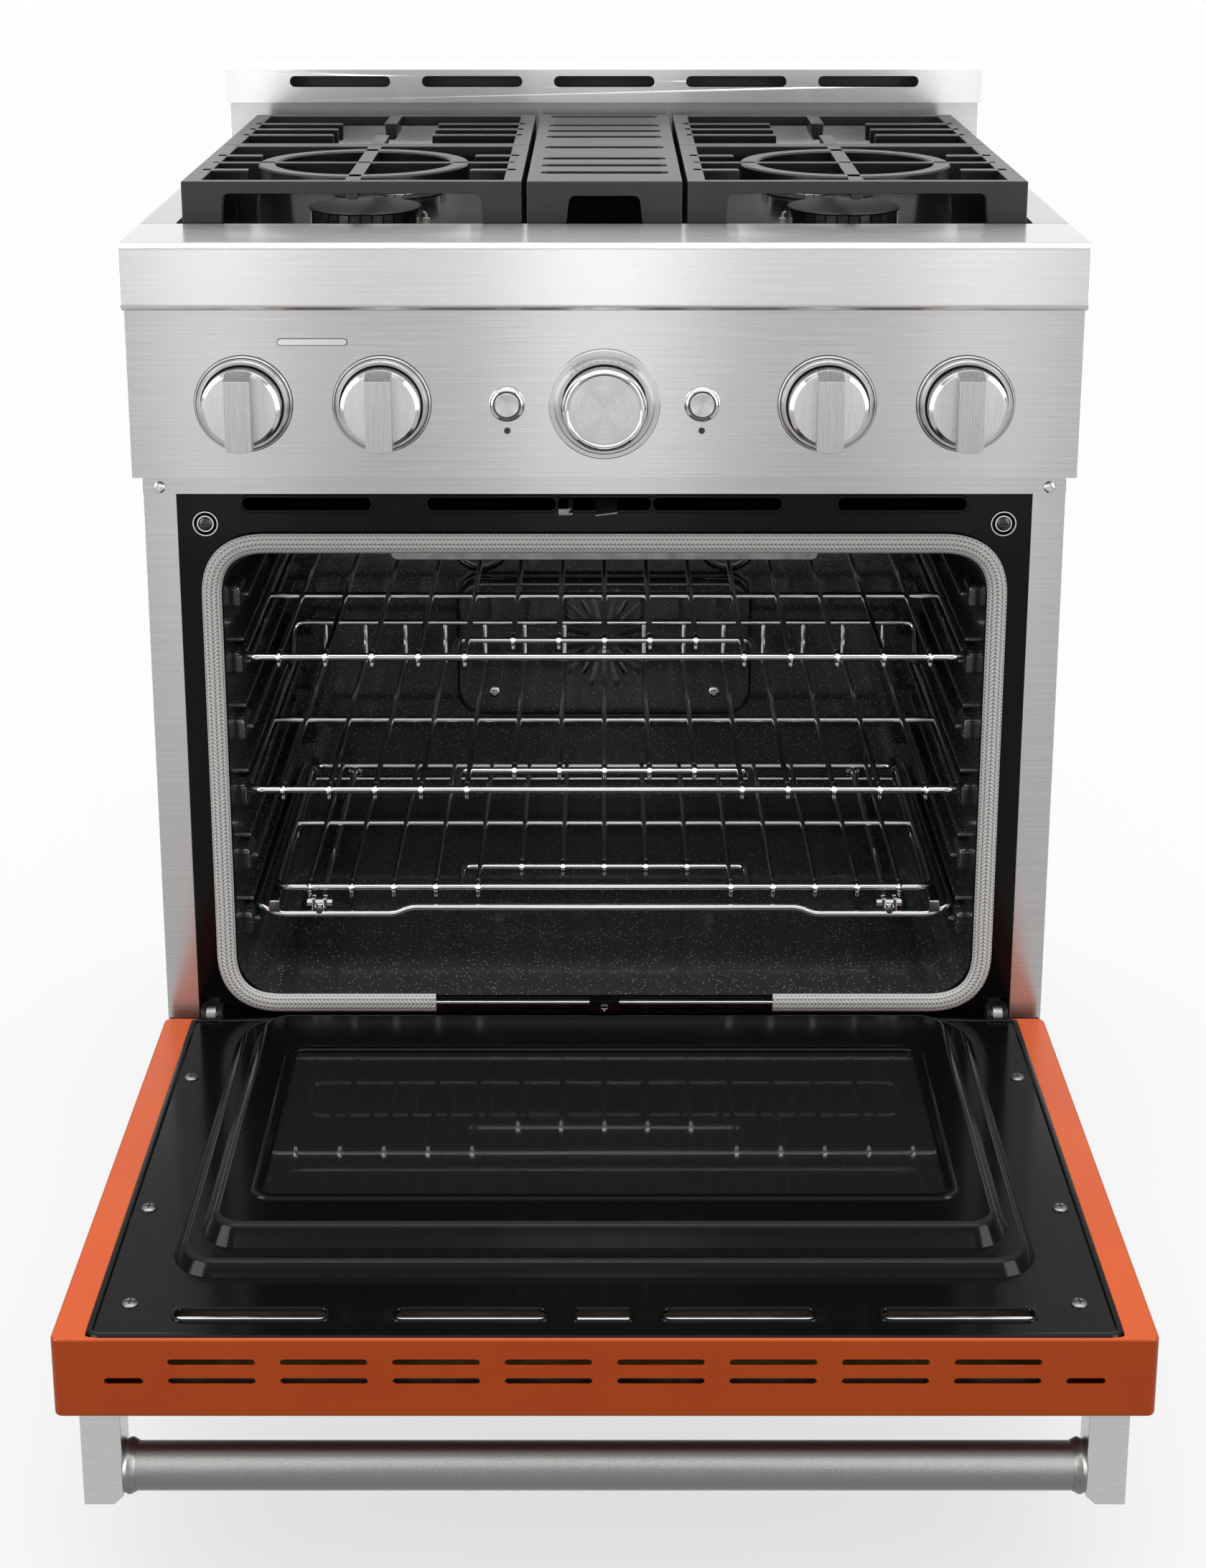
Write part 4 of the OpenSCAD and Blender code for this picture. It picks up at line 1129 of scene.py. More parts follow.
@dataclass
class Controls:
    """Four burner knobs, the oven dial and two buttons, each in its bezel."""

    grip_half: float = 10.4
    disc_r: float = 31.5
    recess_r: float = 33.0
    ring_r: float = 36.5
    flange_r: float = 39.0

    def bezel(self, x: float, z: float, face: float) -> BMesh:
        """A knob's bezel: a thin flange, a raised ring with a fine groove, and a dark recess inside.

        Args:
            x: the knob's middle along X.
            z: its height.
            face: the panel's face along Y.

        Returns:
            A closed ring.
        """
        flange, ring, hole = self.flange_r, self.ring_r, self.recess_r
        outline = [(hole, 0), (flange, 0), (flange, 2.2), (flange - 0.8, 3.0), (ring + 0.5, 3.0), (ring, 3.6),
                   (ring, 6.6), (ring - 1.2, 8.0), (ring - 1.5, 8.0), (ring - 1.6, 7.4), (ring - 2.0, 7.4),
                   (ring - 2.1, 8.0), (hole + 0.5, 8.0), (hole, 7.4), (hole, 0)]
        return lathe([(r, -h) for r, h in outline], (x, face, z), Axis.Y, 96)

    def knob(self, i: int) -> None:
        """One burner knob with its bezel: a chamfered disc with a proud upright grip.

        Args:
            i: the knob's number, from the left.
        """
        spot = Box.of(f"knob_{i}")
        stem = Box.of(f"stem_{i}")
        x, z = stem.mid(0), stem.mid(2)
        face = Box.of("control_panel").y[0]
        tip = spot.y[0]
        back = spot.y[1]
        front = tip + 16
        r = self.disc_r
        disc = lathe([(0, 0), (r - 3.2, 0), (r - 2.9, 0.1), (r - 0.5, 1.6), (r, 2.2), (r, back - front),
                      (0, back - front)], (x, front, z), Axis.Y, 96)
        Kit.piece(f"knob_disc_{i}", disc, DISC_STEEL, "knob_metal", [f"knob_{i}"], f"burner_knob_{i}")
        chamfer = lathe([(r - 3.3, 0.4), (r - 3.2, -0.05), (r - 0.4, 1.5), (r - 0.6, 1.9), (r - 3.3, 0.4)],
                        (x, front, z), Axis.Y, 96)
        Kit.piece(f"knob_chamfer_{i}", chamfer, CHROME, "chrome", (), f"burner_knob_{i}")
        grip = lathe([(0, 0), (r, 0), (r + 0.2, 1), (r, front - tip + 1), (0, front - tip + 1)], (x, tip, z),
                     Axis.Y, 96)
        slope = Vector((0, -(5.5), 16)).normalized()
        cuts = [((x - self.grip_half, 0, 0), (-1, 0, 0)), ((x + self.grip_half, 0, 0), (1, 0, 0)),
                ((x, tip, z + r - 5.5), (0, -slope.z * 0.33, slope.z))]
        for at, away in cuts:
            bmesh.ops.bisect_plane(grip, geom=list(grip.verts) + list(grip.edges) + list(grip.faces),
                                   plane_co=at, plane_no=away, clear_outer=True)
            bmesh.ops.holes_fill(grip, edges=[e for e in grip.edges if e.is_boundary])
        bmesh.ops.dissolve_limit(grip, angle_limit=0.01, verts=grip.verts, edges=grip.edges)
        bmesh.ops.recalc_face_normals(grip, faces=grip.faces)
        Kit.piece(f"knob_grip_{i}", soften(grip, 0.6, 2, 50), GRIP_STEEL, "knob_metal", (),
                  f"burner_knob_{i}")
        ring = join(self.bezel(x, z, face), block((x - 0.6, x + 0.6), (face - 8.3, face - 7.6),
                                                  (z + 33.4, z + 36)))
        Kit.piece(f"knob_bezel_{i}", ring, SPUN, "spun_steel", ["control_bezels"] if i == 1 else ())
        well = lathe([(0, -0.3), (self.recess_r + 0.2, -0.3), (self.recess_r + 0.2, 0.2), (0, 0.2)],
                     (x, face, z), Axis.Y)
        Kit.piece(f"knob_well_{i}", well, PLASTIC, "black_plastic")
        # three thin matt black rings of painted shadow: at the flange's foot on the panel, at the raised
        # ring's foot and at the recess's edge
        lines = [lathe([(a, -h), (b, -h), (b, -h + 0.5), (a, -h + 0.5), (a, -h)], (x, face, z), Axis.Y, 96)
                 for a, b, h in ((self.flange_r - 0.1, self.flange_r + 0.5, 0.6),
                                 (self.ring_r + 0.3, self.ring_r + 1.2, 3.15),
                                 (self.recess_r + 0.3, self.recess_r + 1.2, 7.9))]
        Kit.piece(f"knob_bezel_shadow_rings_{i}", join(*lines), MARKING, "black_plastic")

    def dial(self) -> None:
        """The oven dial: a wide bright ring around a lathe-turned face, in a stepped bezel."""
        spot, seat = Box.of("oven_dial"), Box.of("dial_bezel")
        x, z = spot.mid(0), spot.mid(2)
        face = Box.of("control_panel").y[0]
        front, back = spot.y
        r = (spot.x[1] - spot.x[0]) / 2
        chrome = lathe([(r - 5.4, 1.2), (r - 4.6, 0.3), (r - 3.0, 0), (r - 1.0, 1.2), (r, 3.6),
                        (r, back - front), (r - 5.4, back - front), (r - 5.4, 1.2)], (x, front, z), Axis.Y,
                       96)
        Kit.piece("dial_chrome_ring", chrome, CHROME, "chrome", ["oven_dial"], "thermostat_dial")
        spun = lathe([(0, 2.2), (3, 1.9), (r - 9, 1.6), (r - 5.2, 1.9), (r - 5.2, back - front - 1),
                      (0, back - front - 1)], (x, front, z), Axis.Y, 96)
        Kit.piece("dial_spun_face", spun, SPUN, "spun_steel", (), "thermostat_dial")
        flange = (seat.x[1] - seat.x[0]) / 2
        hole = r + 0.8
        outline = [(hole, 0), (flange, 0), (flange, 3.2), (flange - 0.8, 4.0), (flange - 4.6, 4.0),
                   (flange - 5.2, 4.8), (flange - 5.5, 10.4), (flange - 6.8, 12.0), (flange - 8.2, 12.0),
                   (flange - 8.4, 11.4), (flange - 8.8, 11.4), (flange - 9.0, 12.0), (hole + 0.4, 12.0),
                   (hole, 11.4), (hole, 0)]
        bezel = lathe([(a, -h) for a, h in outline], (x, face, z), Axis.Y, 96)
        ticks = []
        for k in range(-5, 6):
            mark = block((-0.35, 0.35), (face - 12.1, face - 11.8), (flange - 7.9, flange - 6.9))
            bmesh.ops.rotate(mark, verts=mark.verts, cent=(0, 0, 0),
                             matrix=Matrix.Rotation(math.radians(k * 9), 3, "Y"))
            ticks.append(shifted(mark, x, 0, z))
        Kit.piece("dial_bezel_stepped", bezel, SPUN, "spun_steel", ["dial_bezel"])
        Kit.piece("dial_ticks", join(*ticks), MARKING, "black_plastic")

    def button(self, side: str) -> None:
        """One push button: a turned cap in a rounded chrome ring.

        Args:
            side: which of the two buttons.
        """
        spot = Box.of(f"button_{side}")
        x, z = spot.mid(0), spot.mid(2)
        face = Box.of("control_panel").y[0]
        front = spot.y[0]
        ring = lathe([(r, -h) for r, h in [(10.3, 0), (14.5, 0), (14.5, 1.2), (13.9, 3.2), (12.7, 4.6),
                                           (11.6, 5.0), (10.7, 4.4), (10.3, 3.4), (10.3, 0)]], (x, face, z),
                     Axis.Y, 64)
        Kit.piece(f"button_ring_{side}", ring, CHROME, "chrome")
        deep = spot.y[1] - front
        cap = lathe([(0, 0.8), (8.2, 0.3), (9.2, 0.2), (9.8, 0.8), (10, 1.6), (10, deep), (0, deep)],
                    (x, front, z), Axis.Y, 64)
        Kit.piece(f"button_cap_{side}", cap, SPUN, "spun_steel", [f"button_{side}"], f"{side}_button")

    def build(self) -> None:
        """Makes every control."""
        for i in range(1, 5):
            self.knob(i)
        self.dial()
        self.button("left")
        self.button("right")


@dataclass
class OvenFront:
    """The black front frame, its vents, dimples and latch, and the rope gasket."""

    face: Box = field(default_factory=lambda: Box.of("front_frame"))
    rope: Box = field(default_factory=lambda: Box.of("door_gasket"))
    clip: Box = field(default_factory=lambda: Box.of("gasket_clip"))
    hooks: Box = field(default_factory=lambda: Box.of("latch_hooks"))
    vents: tuple[Span, ...] = ((-245, 106), (-93, 106), (0, 77), (93, 106), (245, 106))
    rope_half: float = 8.3

    def frame_sheet(self) -> None:
        """Makes the frame, and rolled rims around its slots."""
        y = self.face.y[0]
        z = self.face.z[1] - 9.5
        Kit.piece("front_frame_enamelled", soften(traced("front_frame"), 0.5, 1), ENAMEL, "porcelain",
                  ["front_frame"])
        rims = [rim((m - w / 2 - 0.8, m + w / 2 + 0.8), (z - 6.3, z + 6.3), y - 0.1, 6.2, (1.3, 0.9), Axis.Y)
                for m, w in self.vents]
        Kit.piece("front_frame_rims", join(*rims), ENAMEL, "porcelain")
        # a black enamel sheet behind the slots: painted shade seen through them
        Kit.piece("front_frame_slot_shade_sheet", block((-350, 350), (y + 26, y + 27), (z - 12, z + 8), 0.4), ENAMEL,
                  "porcelain")

    def dimples(self) -> None:
        """Makes the ringed corner screws and the trim strip's end screws."""
        y = self.face.y[0]
        corners, glints, inner, ends = [], [], [], []
        for side in (-1, 1):
            x, z = side * 329, self.face.z[1] - 26
            corners.append(lathe([(r, -h) for r, h in [(7.4, 0), (10.6, 0), (10.3, 1.2), (9.2, 1.9),
                                                       (8.2, 1.2), (7.4, 0)]], (x, y, z), Axis.Y, 40))
            for a, b, h in ((6.0, 6.8, 1.7), (9.7, 10.4, 1.9)):
                glints.append(lathe([(a, 0), (b, 0), (b, -h), (a, -h), (a, 0)], (x, y, z), Axis.Y, 40))
            inner.append(screw((x, y, z), FRONT, 5.6))
            ends.append(screw((side * 365, Box.of("trim_strip").y[0], self.face.z[1] + 6), FRONT, 5.0))
        Kit.piece("front_frame_dimples", join(*corners), ENAMEL, "porcelain")
        Kit.piece("front_dimple_glints", join(*glints), CHROME, "chrome")
        Kit.piece("front_corner_screws", join(*inner), BLACK_STEEL, "dull_steel")
        Kit.piece("front_screws_crossed", join(*ends), CHROME, "chrome", ["frame_screws"])

    def gasket(self) -> None:
        """Makes the flattened knitted rope round the oven's mouth, open at the bottom where its clip is."""
        half = self.rope_half
        x, (z0, z1) = self.rope.x[1] - half, self.rope.z
        gap = self.clip.x[1] - 6
        y = (self.rope.y[0] + self.rope.y[1]) / 2
        path = rounded_path([(gap, y, z0 + half), (x, y, z0 + half), (x, y, z1 - half), (-x, y, z1 - half),
                             (-x, y, z0 + half), (-gap, y, z0 + half)], 46, 14)
        fine = [a.lerp(b, t / 3) for a, b in zip(path, path[1:]) for t in range(3)] + [path[-1]]
        band = sweep(fine, (half, 3.7), 20, False, Vector((0, 1, 0)))
        Kit.piece("door_gasket_knitted", band, ROPE, "fibreglass", ["door_gasket"])
        Kit.piece("gasket_clip_pressed", soften(traced("gasket_clip"), 0.4, 2), BLACK_STEEL, "stainless",
                  ["gasket_clip"])
        x, y, top = self.clip.x[1] - 1.5, self.clip.y[0] + 1.4, self.clip.z[1] - 1.4
        Kit.piece("gasket_clip_edge", rod((-x, y, top), (x, y, top), 1.3), PORT_RING, "stainless")
        Kit.piece("gasket_clip_screw", screw((0, self.clip.y[0], self.clip.mid(2)), FRONT, 3.6), CHROME,
                  "chrome")

    def latch(self) -> None:
        """Makes the bent latch hook and the tilted spring strip beside it."""
        y0, y1 = self.hooks.y
        z = self.hooks.mid(2)
        hook = join(
            wire([(-28, y1 - 4, z), (-28, y0 + 4, z), (-36, y0 + 2.5, z - 1.5)], 1.9, 7),
            block((-30, -26), (y0 + 2, y1 - 4), (z - 4.2, z - 2.2), 0.5),
            block((-37.5, -29), (y0 + 0.4, y0 + 3.6), (z - 4.2, z + 1.5), 0.8),
        )
        strip = block((-8, 10), (y0 + 2, y1 - 4), (z - 4.3, z - 2.7), 0.5)
        bmesh.ops.rotate(strip, verts=strip.verts, cent=(1, 0, z), matrix=Matrix.Rotation(math.radians(-7), 3,
                                                                                          "Y"))
        back = block((-30, 10), (y1 - 4, y1), (z - 4.4, z + 4.4), 0.6)
        Kit.piece("latch_hook_bent", join(hook, strip, back), MILL_STEEL, "dull_steel", ["latch_hooks"])

    def build(self) -> None:
        """Makes the whole oven front."""
        self.frame_sheet()
        self.dimples()
        self.gasket()
        self.latch()


@dataclass
class Cavity:
    """The enamelled oven cavity with its guides, broiler, fan cover and lamps."""

    guides: Box = field(default_factory=lambda: Box.of("rack_guides"))
    cover: Box = field(default_factory=lambda: Box.of("fan_baffle"))
    broiler: Box = field(default_factory=lambda: Box.of("broil_burner"))
    fan: Box = field(default_factory=lambda: Box.of("fan_wheel"))
    levels: int = 6
    pitch: float = 60.0
    bar: float = 14.0

    def liner(self) -> None:
        """Makes the liner and the embossed supports along its sides."""
        Kit.piece("oven_liner_enamelled", traced("oven_liner"), SPECKLED, "porcelain", ["oven_liner"])
        y0, y1 = self.guides.y
        inner = self.guides.x[1]
        low = self.guides.z[0] + self.bar / 2
        ribs = []
        for k in range(self.levels):
            z = low + k * self.pitch
            ribs.append(block((inner - 13.5, inner + 3), (y0 + 14, y1), (z - 13, z - 7), 2.8, 4))
            ribs.append(block((inner - 9, inner + 3), (y0, y0 + 34), (z - 19, z + 3), 5, 4))
            if k < self.levels - 1:
                ribs.append(block((inner - 8, inner + 3), (y0 + 14, y1), (z + 7, z + 12), 2.4, 4))
        Kit.piece("rack_guides_embossed", mirrored(join(*ribs)), SPECKLED, "porcelain", ["rack_guides"])

    def back_wall(self) -> None:
        """Makes the fan's cover with its sunburst of slots, its screws, the fan and two lamps."""
        x, y, z = self.cover.x, self.cover.y, self.cover.z
        centre = (self.fan.mid(0), self.fan.mid(2))
        cover = soften(round_slab(x, z, y, 26, Axis.Y), 6, 4, 60)
        rays = []
        for k in range(24):
            reach = 54 if k % 2 else 46
            ray = round_slab((-2.6, 2.6), (13 if k % 2 else 22, reach), (y[0] - 5, y[1] + 2), 2.5, Axis.Y, 3)
            bmesh.ops.rotate(ray, verts=ray.verts, cent=(0, 0, 0), matrix=Matrix.Rotation(TURN * k / 24, 3,
                                                                                          "Y"))
            rays.append(shifted(ray, centre[0], 0, centre[1]))
        Kit.piece("fan_cover_slotted", carve(cover, *rays), SPECKLED, "porcelain", ["fan_baffle"])
        heads = [screw((s * 112, y[0], 372), FRONT, 6) for s in (-1, 1)]
        Kit.piece("fan_cover_screws", join(*heads), CHROME, "chrome")
        Kit.dress(MILL_STEEL, "fan_wheel", "fan_motor")
        lamps, lenses = [], []
        for s in (-1, 1):
            at = (s * 125, Box.of("oven_lamps").y[1], 526)
            lamps.append(lathe([(r, -h) for r, h in [(25, 0), (32, 0), (32, 6), (30, 9), (27, 10), (25, 8),
                                                     (25, 0)]],
                               at, Axis.Y, 48))
            lenses.append(lathe([(r, -h) for r, h in [(0, 0), (25, 0), (25, 8), (20, 12), (11, 14.5),
                                                      (0, 15.5)]],
                                at, Axis.Y, 48))
        Kit.piece("oven_lamp_rings", join(*lamps), CHROME, "chrome", ["oven_lamps"])
        Kit.piece("oven_lamp_lenses", join(*lenses), LAMP_GLASS, "glass")

    def grill(self) -> None:
        """Makes the broiler's hood with a rolled front rim."""
        x, y, z = self.broiler.x, self.broiler.y, self.broiler.z
        Kit.piece("broiler_hood", soften(traced("broil_burner"), 1.4, 3), MILL_STEEL, "dull_steel",
                  ["broil_burner"])
        edge = wire([(x[0] + 3, y[1] - 3, z[0] + 4), (x[0] + 3, y[0] + 4, z[0] + 4),
                     (x[1] - 3, y[0] + 4, z[0] + 4), (x[1] - 3, y[1] - 3, z[0] + 4)], 3.8, 46, sides=12)
        Kit.piece("broiler_rim", edge, CHROME, "dull_steel")

    def build(self) -> None:
        """Makes the whole cavity."""
        self.liner()
        self.back_wall()
        self.grill()


@dataclass
class Racks:
    """Two wire racks and a roll-out rack on its sliding frame."""

    rail: float = 3.25
    cross: float = 2.5
    gap: float = 127.0
    hand: float = 45.0

    def grid(self, node: str, stop: float) -> BMesh:
        """A rack's wires.

        Args:
            node: the CAD rack that it stands for.
            stop: how high its backstop rises over its plane, or 0.

        Returns:
            The wires as one mesh.
        """
        spot = Box.of(node)
        hx = spot.x[1] - self.rail
        y0, y1 = spot.y[0] + self.rail, spot.y[1] - self.rail
        z = spot.z[0] + self.rail + 0.1
        parts = [wire([(-hx, y1, z), (-hx, y0, z), (hx, y0, z), (hx, y1, z)], self.rail, 16, True, 12)]
        pitch = hx / 7.8
        for y in ((y0 + y1) / 2, y1 - 0.4):
            parts.append(rod((-hx, y, z - 0.6), (hx, y, z - 0.6), self.rail, 10))
        parts.append(wire([(-self.gap, y0, z), (-self.gap, y0 + self.hand, z), (self.gap, y0 + self.hand, z),
                           (self.gap, y0, z)], self.rail * 0.85, 8, sides=10))
        lift = self.rail + self.cross * 0.5
        for k in range(-7, 8):
            x = k * pitch
            near = y0 + self.hand if abs(k) < 3 else y0
            turn = self.rail + self.cross
            start = [(x, y1, z + stop)] if stop else [(x, y1 + 1, z)]
            bend = [(x, y1, z + 0.5), (x, near + 6, z + lift * 0.4), (x, near - turn * 0.3, z + lift),
                    (x, near - turn * 0.9, z + 1), (x, near - turn * 0.5, z - self.rail)]
            parts.append(wire((start if stop else []) + bend if stop else start + bend, self.cross, 5,
                              sides=8))
            loop = lathe([(0, -8.0), (1.5, -7.4), (2.1, -5.6), (2.1, 3.0), (1.5, 4.4), (0, 5.0)],
                         (x, near - self.rail, z), Axis.Z, 12)
            parts.append(loop)
        if stop:
            parts.append(wire([(-hx, y1 - 26, z), (-hx, y1, z + stop), (hx, y1, z + stop), (hx, y1 - 26, z)],
                              self.rail, 10, sides=12))
        return join(*parts)

    def frame(self) -> None:
        """Makes the roll-out rack's frame: slide channels, brackets and a dropped front wire."""
        spot = Box.of("roll_out_frame")
        hx = spot.x[1] - self.rail
        z = 308.0
        y0, y1 = spot.y[0] + 4, spot.y[1] - 4
        parts = [wire([(hx - 4, y1, z), (hx - 1, y0 + 10, z), (hx - 18, y0 + 8, z - 8), (184, y0 + 8, z - 8),
                       (172, y0 + 8, z - 2), (-172, y0 + 8, z - 2), (-184, y0 + 8, z - 8),
                       (-hx + 18, y0 + 8, z - 8), (-hx + 1, y0 + 10, z), (-hx + 4, y1, z)], self.rail, 9,
                      sides=12)]
        for s in (-1, 1):
            parts.append(block(tuple(sorted((s * 285, s * 295))), (y0, y1), (z - 4, z + 8), 1.6, 2))
            for y in (y0 + 6, y0 + 14, y1 - 12):
                parts.append(block(tuple(sorted((s * 244, s * 248))), (y, y + 4), (z - 10, z + 7), 1.2, 2))
                parts.append(block(tuple(sorted((s * 254, s * 258))), (y, y + 4), (z - 10, z + 7), 1.2, 2))
            parts.append(rod((s * 240, y0 + 10, z + 2), (s * 262, y0 + 10, z + 2), 3.4, 12))
            parts.append(rod((s * 251, y0 + 2, z - 3), (s * 251, y1, z - 3), 3.0, 10))
        parts.append(rod((-hx + 12, y1 - 16, z - 9), (hx - 12, y1 - 16, z - 9), self.rail, 10))
        Kit.piece("roll_out_frame_bent", join(*parts), RACK_WIRE, "chrome", ["roll_out_frame"])

    def build(self) -> None:
        """Makes the three racks and the frame."""
        for name, stop in (("upper", 37.0), ("middle", 37.0), ("lower", 0.0)):
            Kit.piece(f"rack_{name}_wires", self.grid(f"rack_{name}", stop), RACK_WIRE, "chrome",
                      [f"rack_{name}"], f"{name}_rack")
        self.frame()


@dataclass
class Door:
    """The drop-down door, open: an orange skin, an embossed enamel liner and a window."""

    skin: Box = field(default_factory=lambda: Box.of("door_skin"))
    glass: Box = field(default_factory=lambda: Box.of("door_glass"))
    rim_w: float = 23.5
    vent: float = 456.5
    slot_pitch: float = 77.0
    edge_row: float = 32.9
    vent_slots: tuple[Span, ...] = ((-245, 106), (-93, 106), (93, 106), (245, 106))

    def y(self, u: float) -> float:
        """The row's Y of a distance from the hinge along the open door.

        Args:
            u: distance from the hinge.

        Returns:
            The Y of that place.
        """
        return self.skin.y[1] + 6 - u

    def span(self, u0: float, u1: float) -> Span:
        """A span of distances from the hinge as a span along Y.

        Args:
            u0: distance to the near end.
            u1: distance to the far end.

        Returns:
            The two ends along Y.
        """
        return (self.y(u1), self.y(u0))

    def shell(self) -> None:
        """Makes the painted skin: a folded pan with rounded corners and rows of slots in its handle edge."""
        x, y, (low, top) = self.skin.x, self.skin.y, self.skin.z
        outer = round_slab(x, y, (low, top), 6, Axis.Z, 6)
        outer = soften(outer, 2.2, 4, 60)
        hollow = round_slab((x[0] + 2, x[1] - 2), (y[0] + 2, y[1] - 2), (low + 2, top - 2), 4, Axis.Z)
        mouth = round_slab((x[0] + self.rim_w, x[1] - self.rim_w), (y[0] + 2.6, y[1] - 2), (top - 5, top + 2),
                           4, Axis.Z)
        window = round_slab((-254, 254), self.span(114, 340), (low - 2, low + 4), 8, Axis.Z)
        cuts = [hollow, mouth, window]
        edge = (y[0] - 3, y[0] + 4)
        for drop in (18.3, self.edge_row):
            cuts += [round_slab((m - 30, m + 30), (top - drop - 2.7, top - drop + 2.7), edge, 2.6, Axis.Y, 5)
                     for m in [(k - 3.5) * self.slot_pitch for k in range(8)]]
        for s in (-1, 1):
            cuts.append(round_slab(tuple(sorted((s * 316.5, s * 343.5))),
                                   (top - self.edge_row - 2.7, top - self.edge_row + 2.7), edge, 2.6, Axis.Y,
                                   5))
            cuts.append(block(tuple(sorted((s * 330, s * 350))), (y[1] - 4, y[1] + 3), (top - 30, top + 2)))
        for cut in cuts:
            outer = carve(outer, cut)
        Kit.piece("door_skin_painted", outer, ORANGE, "orange_paint", ["door_skin"], "door")
        web = block((x[0] + 60, x[1] - 60), (y[0] + 7, y[0] + 8), (low + 8, top - 25), 0.3)
        Kit.piece("door_edge_baffle", web, MILL_STEEL, "galvanised", (), "door")

    def step(self, x: float, u: Span, z: Span, slope: float, radius: float, edge: float) -> BMesh:
        """One embossed step: a rounded plateau with sloping sides and a rolled edge.

        Args:
            x: half its width at the foot.
            u: its foot's span from the hinge.
            z: its foot's and its top's height.
            slope: how far the top lies inside the foot.
            radius: the foot's corner radius.
            edge: the width of the rolled top edge.

        Returns:
            A closed mesh.
        """
        bm = round_slab((-x, x), self.span(*u), (z[0] - 1.5, z[0]), radius, Axis.Z, 12)
        top = [f for f in bm.faces if f.normal.z > 0.9]
        bmesh.ops.inset_region(bm, faces=top, thickness=slope, depth=z[1] - z[0], use_even_offset=True)
        level = [e for e in bm.edges if all(v.co.z > z[1] - 0.01 for v in e.verts)]
        bmesh.ops.bevel(bm, geom=level, offset=edge, offset_type="OFFSET", segments=5, profile=0.5,
                        affect="EDGES", clamp_overlap=True, material=-1)
        return bm

    def liner(self) -> None:
        """Makes the enamelled liner with its two steps, window bead and vent slots."""
        top = self.skin.z[1]
        half = self.skin.x[1] - self.rim_w
        sheet = round_slab((-half, half), self.span(8, 484), (top - 2, top), 9, Axis.Z, 8)
        sheet = soften(sheet, 0.8, 2, 60)
        outer = self.step(311, (22, 410), (top, top + 10), 7, 32, 3.0)
        inner = self.step(293, (40, 388), (top + 10, top + 25), 9, 28, 4.0)
        window = round_slab((-254, 254), self.span(114, 340), (top - 8, top + 40), 9, Axis.Z, 8)
        for name, part, more in (("sheet", sheet, self.vents(top)), ("step_outer", outer, []),
                                 ("step_inner", inner, [])):
            for cut in (window.copy(), *more):
                part = carve(part, cut)
            Kit.piece(f"door_liner_{name}", part, ENAMEL, "porcelain", ["door_liner"] if more else (), "door")
        window.free()
        bead = rim((-257, 257), self.span(111, 343), top + 25, 12, (4.2, 2.2), Axis.Z)
        lip = rim((-half + 2.4, half - 2.4), self.span(10.4, 481.6), top + 0.2, 9, (2.6, 1.3), Axis.Z)
        Kit.piece("door_window_bead", join(bead, lip), ENAMEL, "porcelain", (), "door")

    def vents(self, top: float) -> list[BMesh]:
        """The cutters of the liner's vent slots, latch slot and hinge notches.

        Args:
            top: height of the liner's flat.

        Returns:
            One cutter for each slot.
        """
        cuts = [round_slab((m - w / 2, m + w / 2), self.span(self.vent - 7, self.vent + 7),
                           (top - 5, top + 3), 6.9)
                for m, w in self.vent_slots]
        cuts.append(round_slab((-20, 18), self.span(self.vent - 7, self.vent + 7), (top - 5, top + 3), 2,
                               Axis.Z))
        cuts += [block(tuple(sorted((s * 331, s * 349))), self.span(4, 16), (top - 5, top + 3)) for s in (-1,
                                                                                                          1)]
        return cuts

    def fittings(self) -> None:
        """Makes the slots' rolled rims, the bright round ducts under them and the six screws."""
        top = self.skin.z[1]
        rims = [rim((m - w / 2 - 1, m + w / 2 + 1), self.span(self.vent - 8, self.vent + 8), top + 0.2, 7.9,
                    (1.7, 1.3), Axis.Z) for m, w in self.vent_slots]
        rims.append(rim((-21, 19), self.span(self.vent - 8, self.vent + 8), top + 0.2, 3, (1.4, 1.1), Axis.Z))
        Kit.piece("door_vent_rims", join(*rims), ENAMEL, "porcelain", (), "door")
        y = self.y(self.vent)
        ducts = [rod((m - w / 2 + 1, y, top - 8), (m + w / 2 - 1, y, top - 8), 6.4, 24)
                 for m, w in (*self.vent_slots, (-1, 38))]
        Kit.piece("door_vent_ducts", join(*ducts), CHROME, "galvanised", (), "door")
        heads = [screw((s * a, self.y(u), top), UP, 5.8) for s in (-1, 1)
                 for a, u in ((340, 114), (340, 317), (331.5, 443))]
        Kit.piece("door_screws_crossed", join(*heads), MILL_STEEL, "chrome", ["door_screws"], "door")

    def window(self) -> None:
        """Makes the inner pane, the black-backed outer pane and the spacer between them."""
        x, y, z = self.glass.x, self.glass.y, self.glass.z
        inner = soften(round_slab(x, y, (z[1] - 4, z[1]), 4, Axis.Z), 0.6, 2, 60)
        Kit.piece("door_pane_inner", inner, GLASS, "glass", ["door_glass"], "door")
        outer = soften(round_slab(x, y, (z[0], z[0] + 4), 4, Axis.Z), 0.6, 2, 60)
        Kit.piece("door_pane_outer", outer, DARK_GLASS, "glass", (), "door")
        Kit.dress(GALVANISED, "glass_frame")
        shelf = round_slab((x[0] + 14, x[1] - 14), (y[0] + 34, y[1] - 34), (z[0] + 14, z[0] + 15.2), 3)
        Kit.piece("door_pane_middle", soften(shelf, 0.3, 1), GLASS, "glass", (), "door")

    def build(self) -> None:
        """Makes the whole door."""
        self.shell()
        self.liner()
        self.fittings()
        self.window()


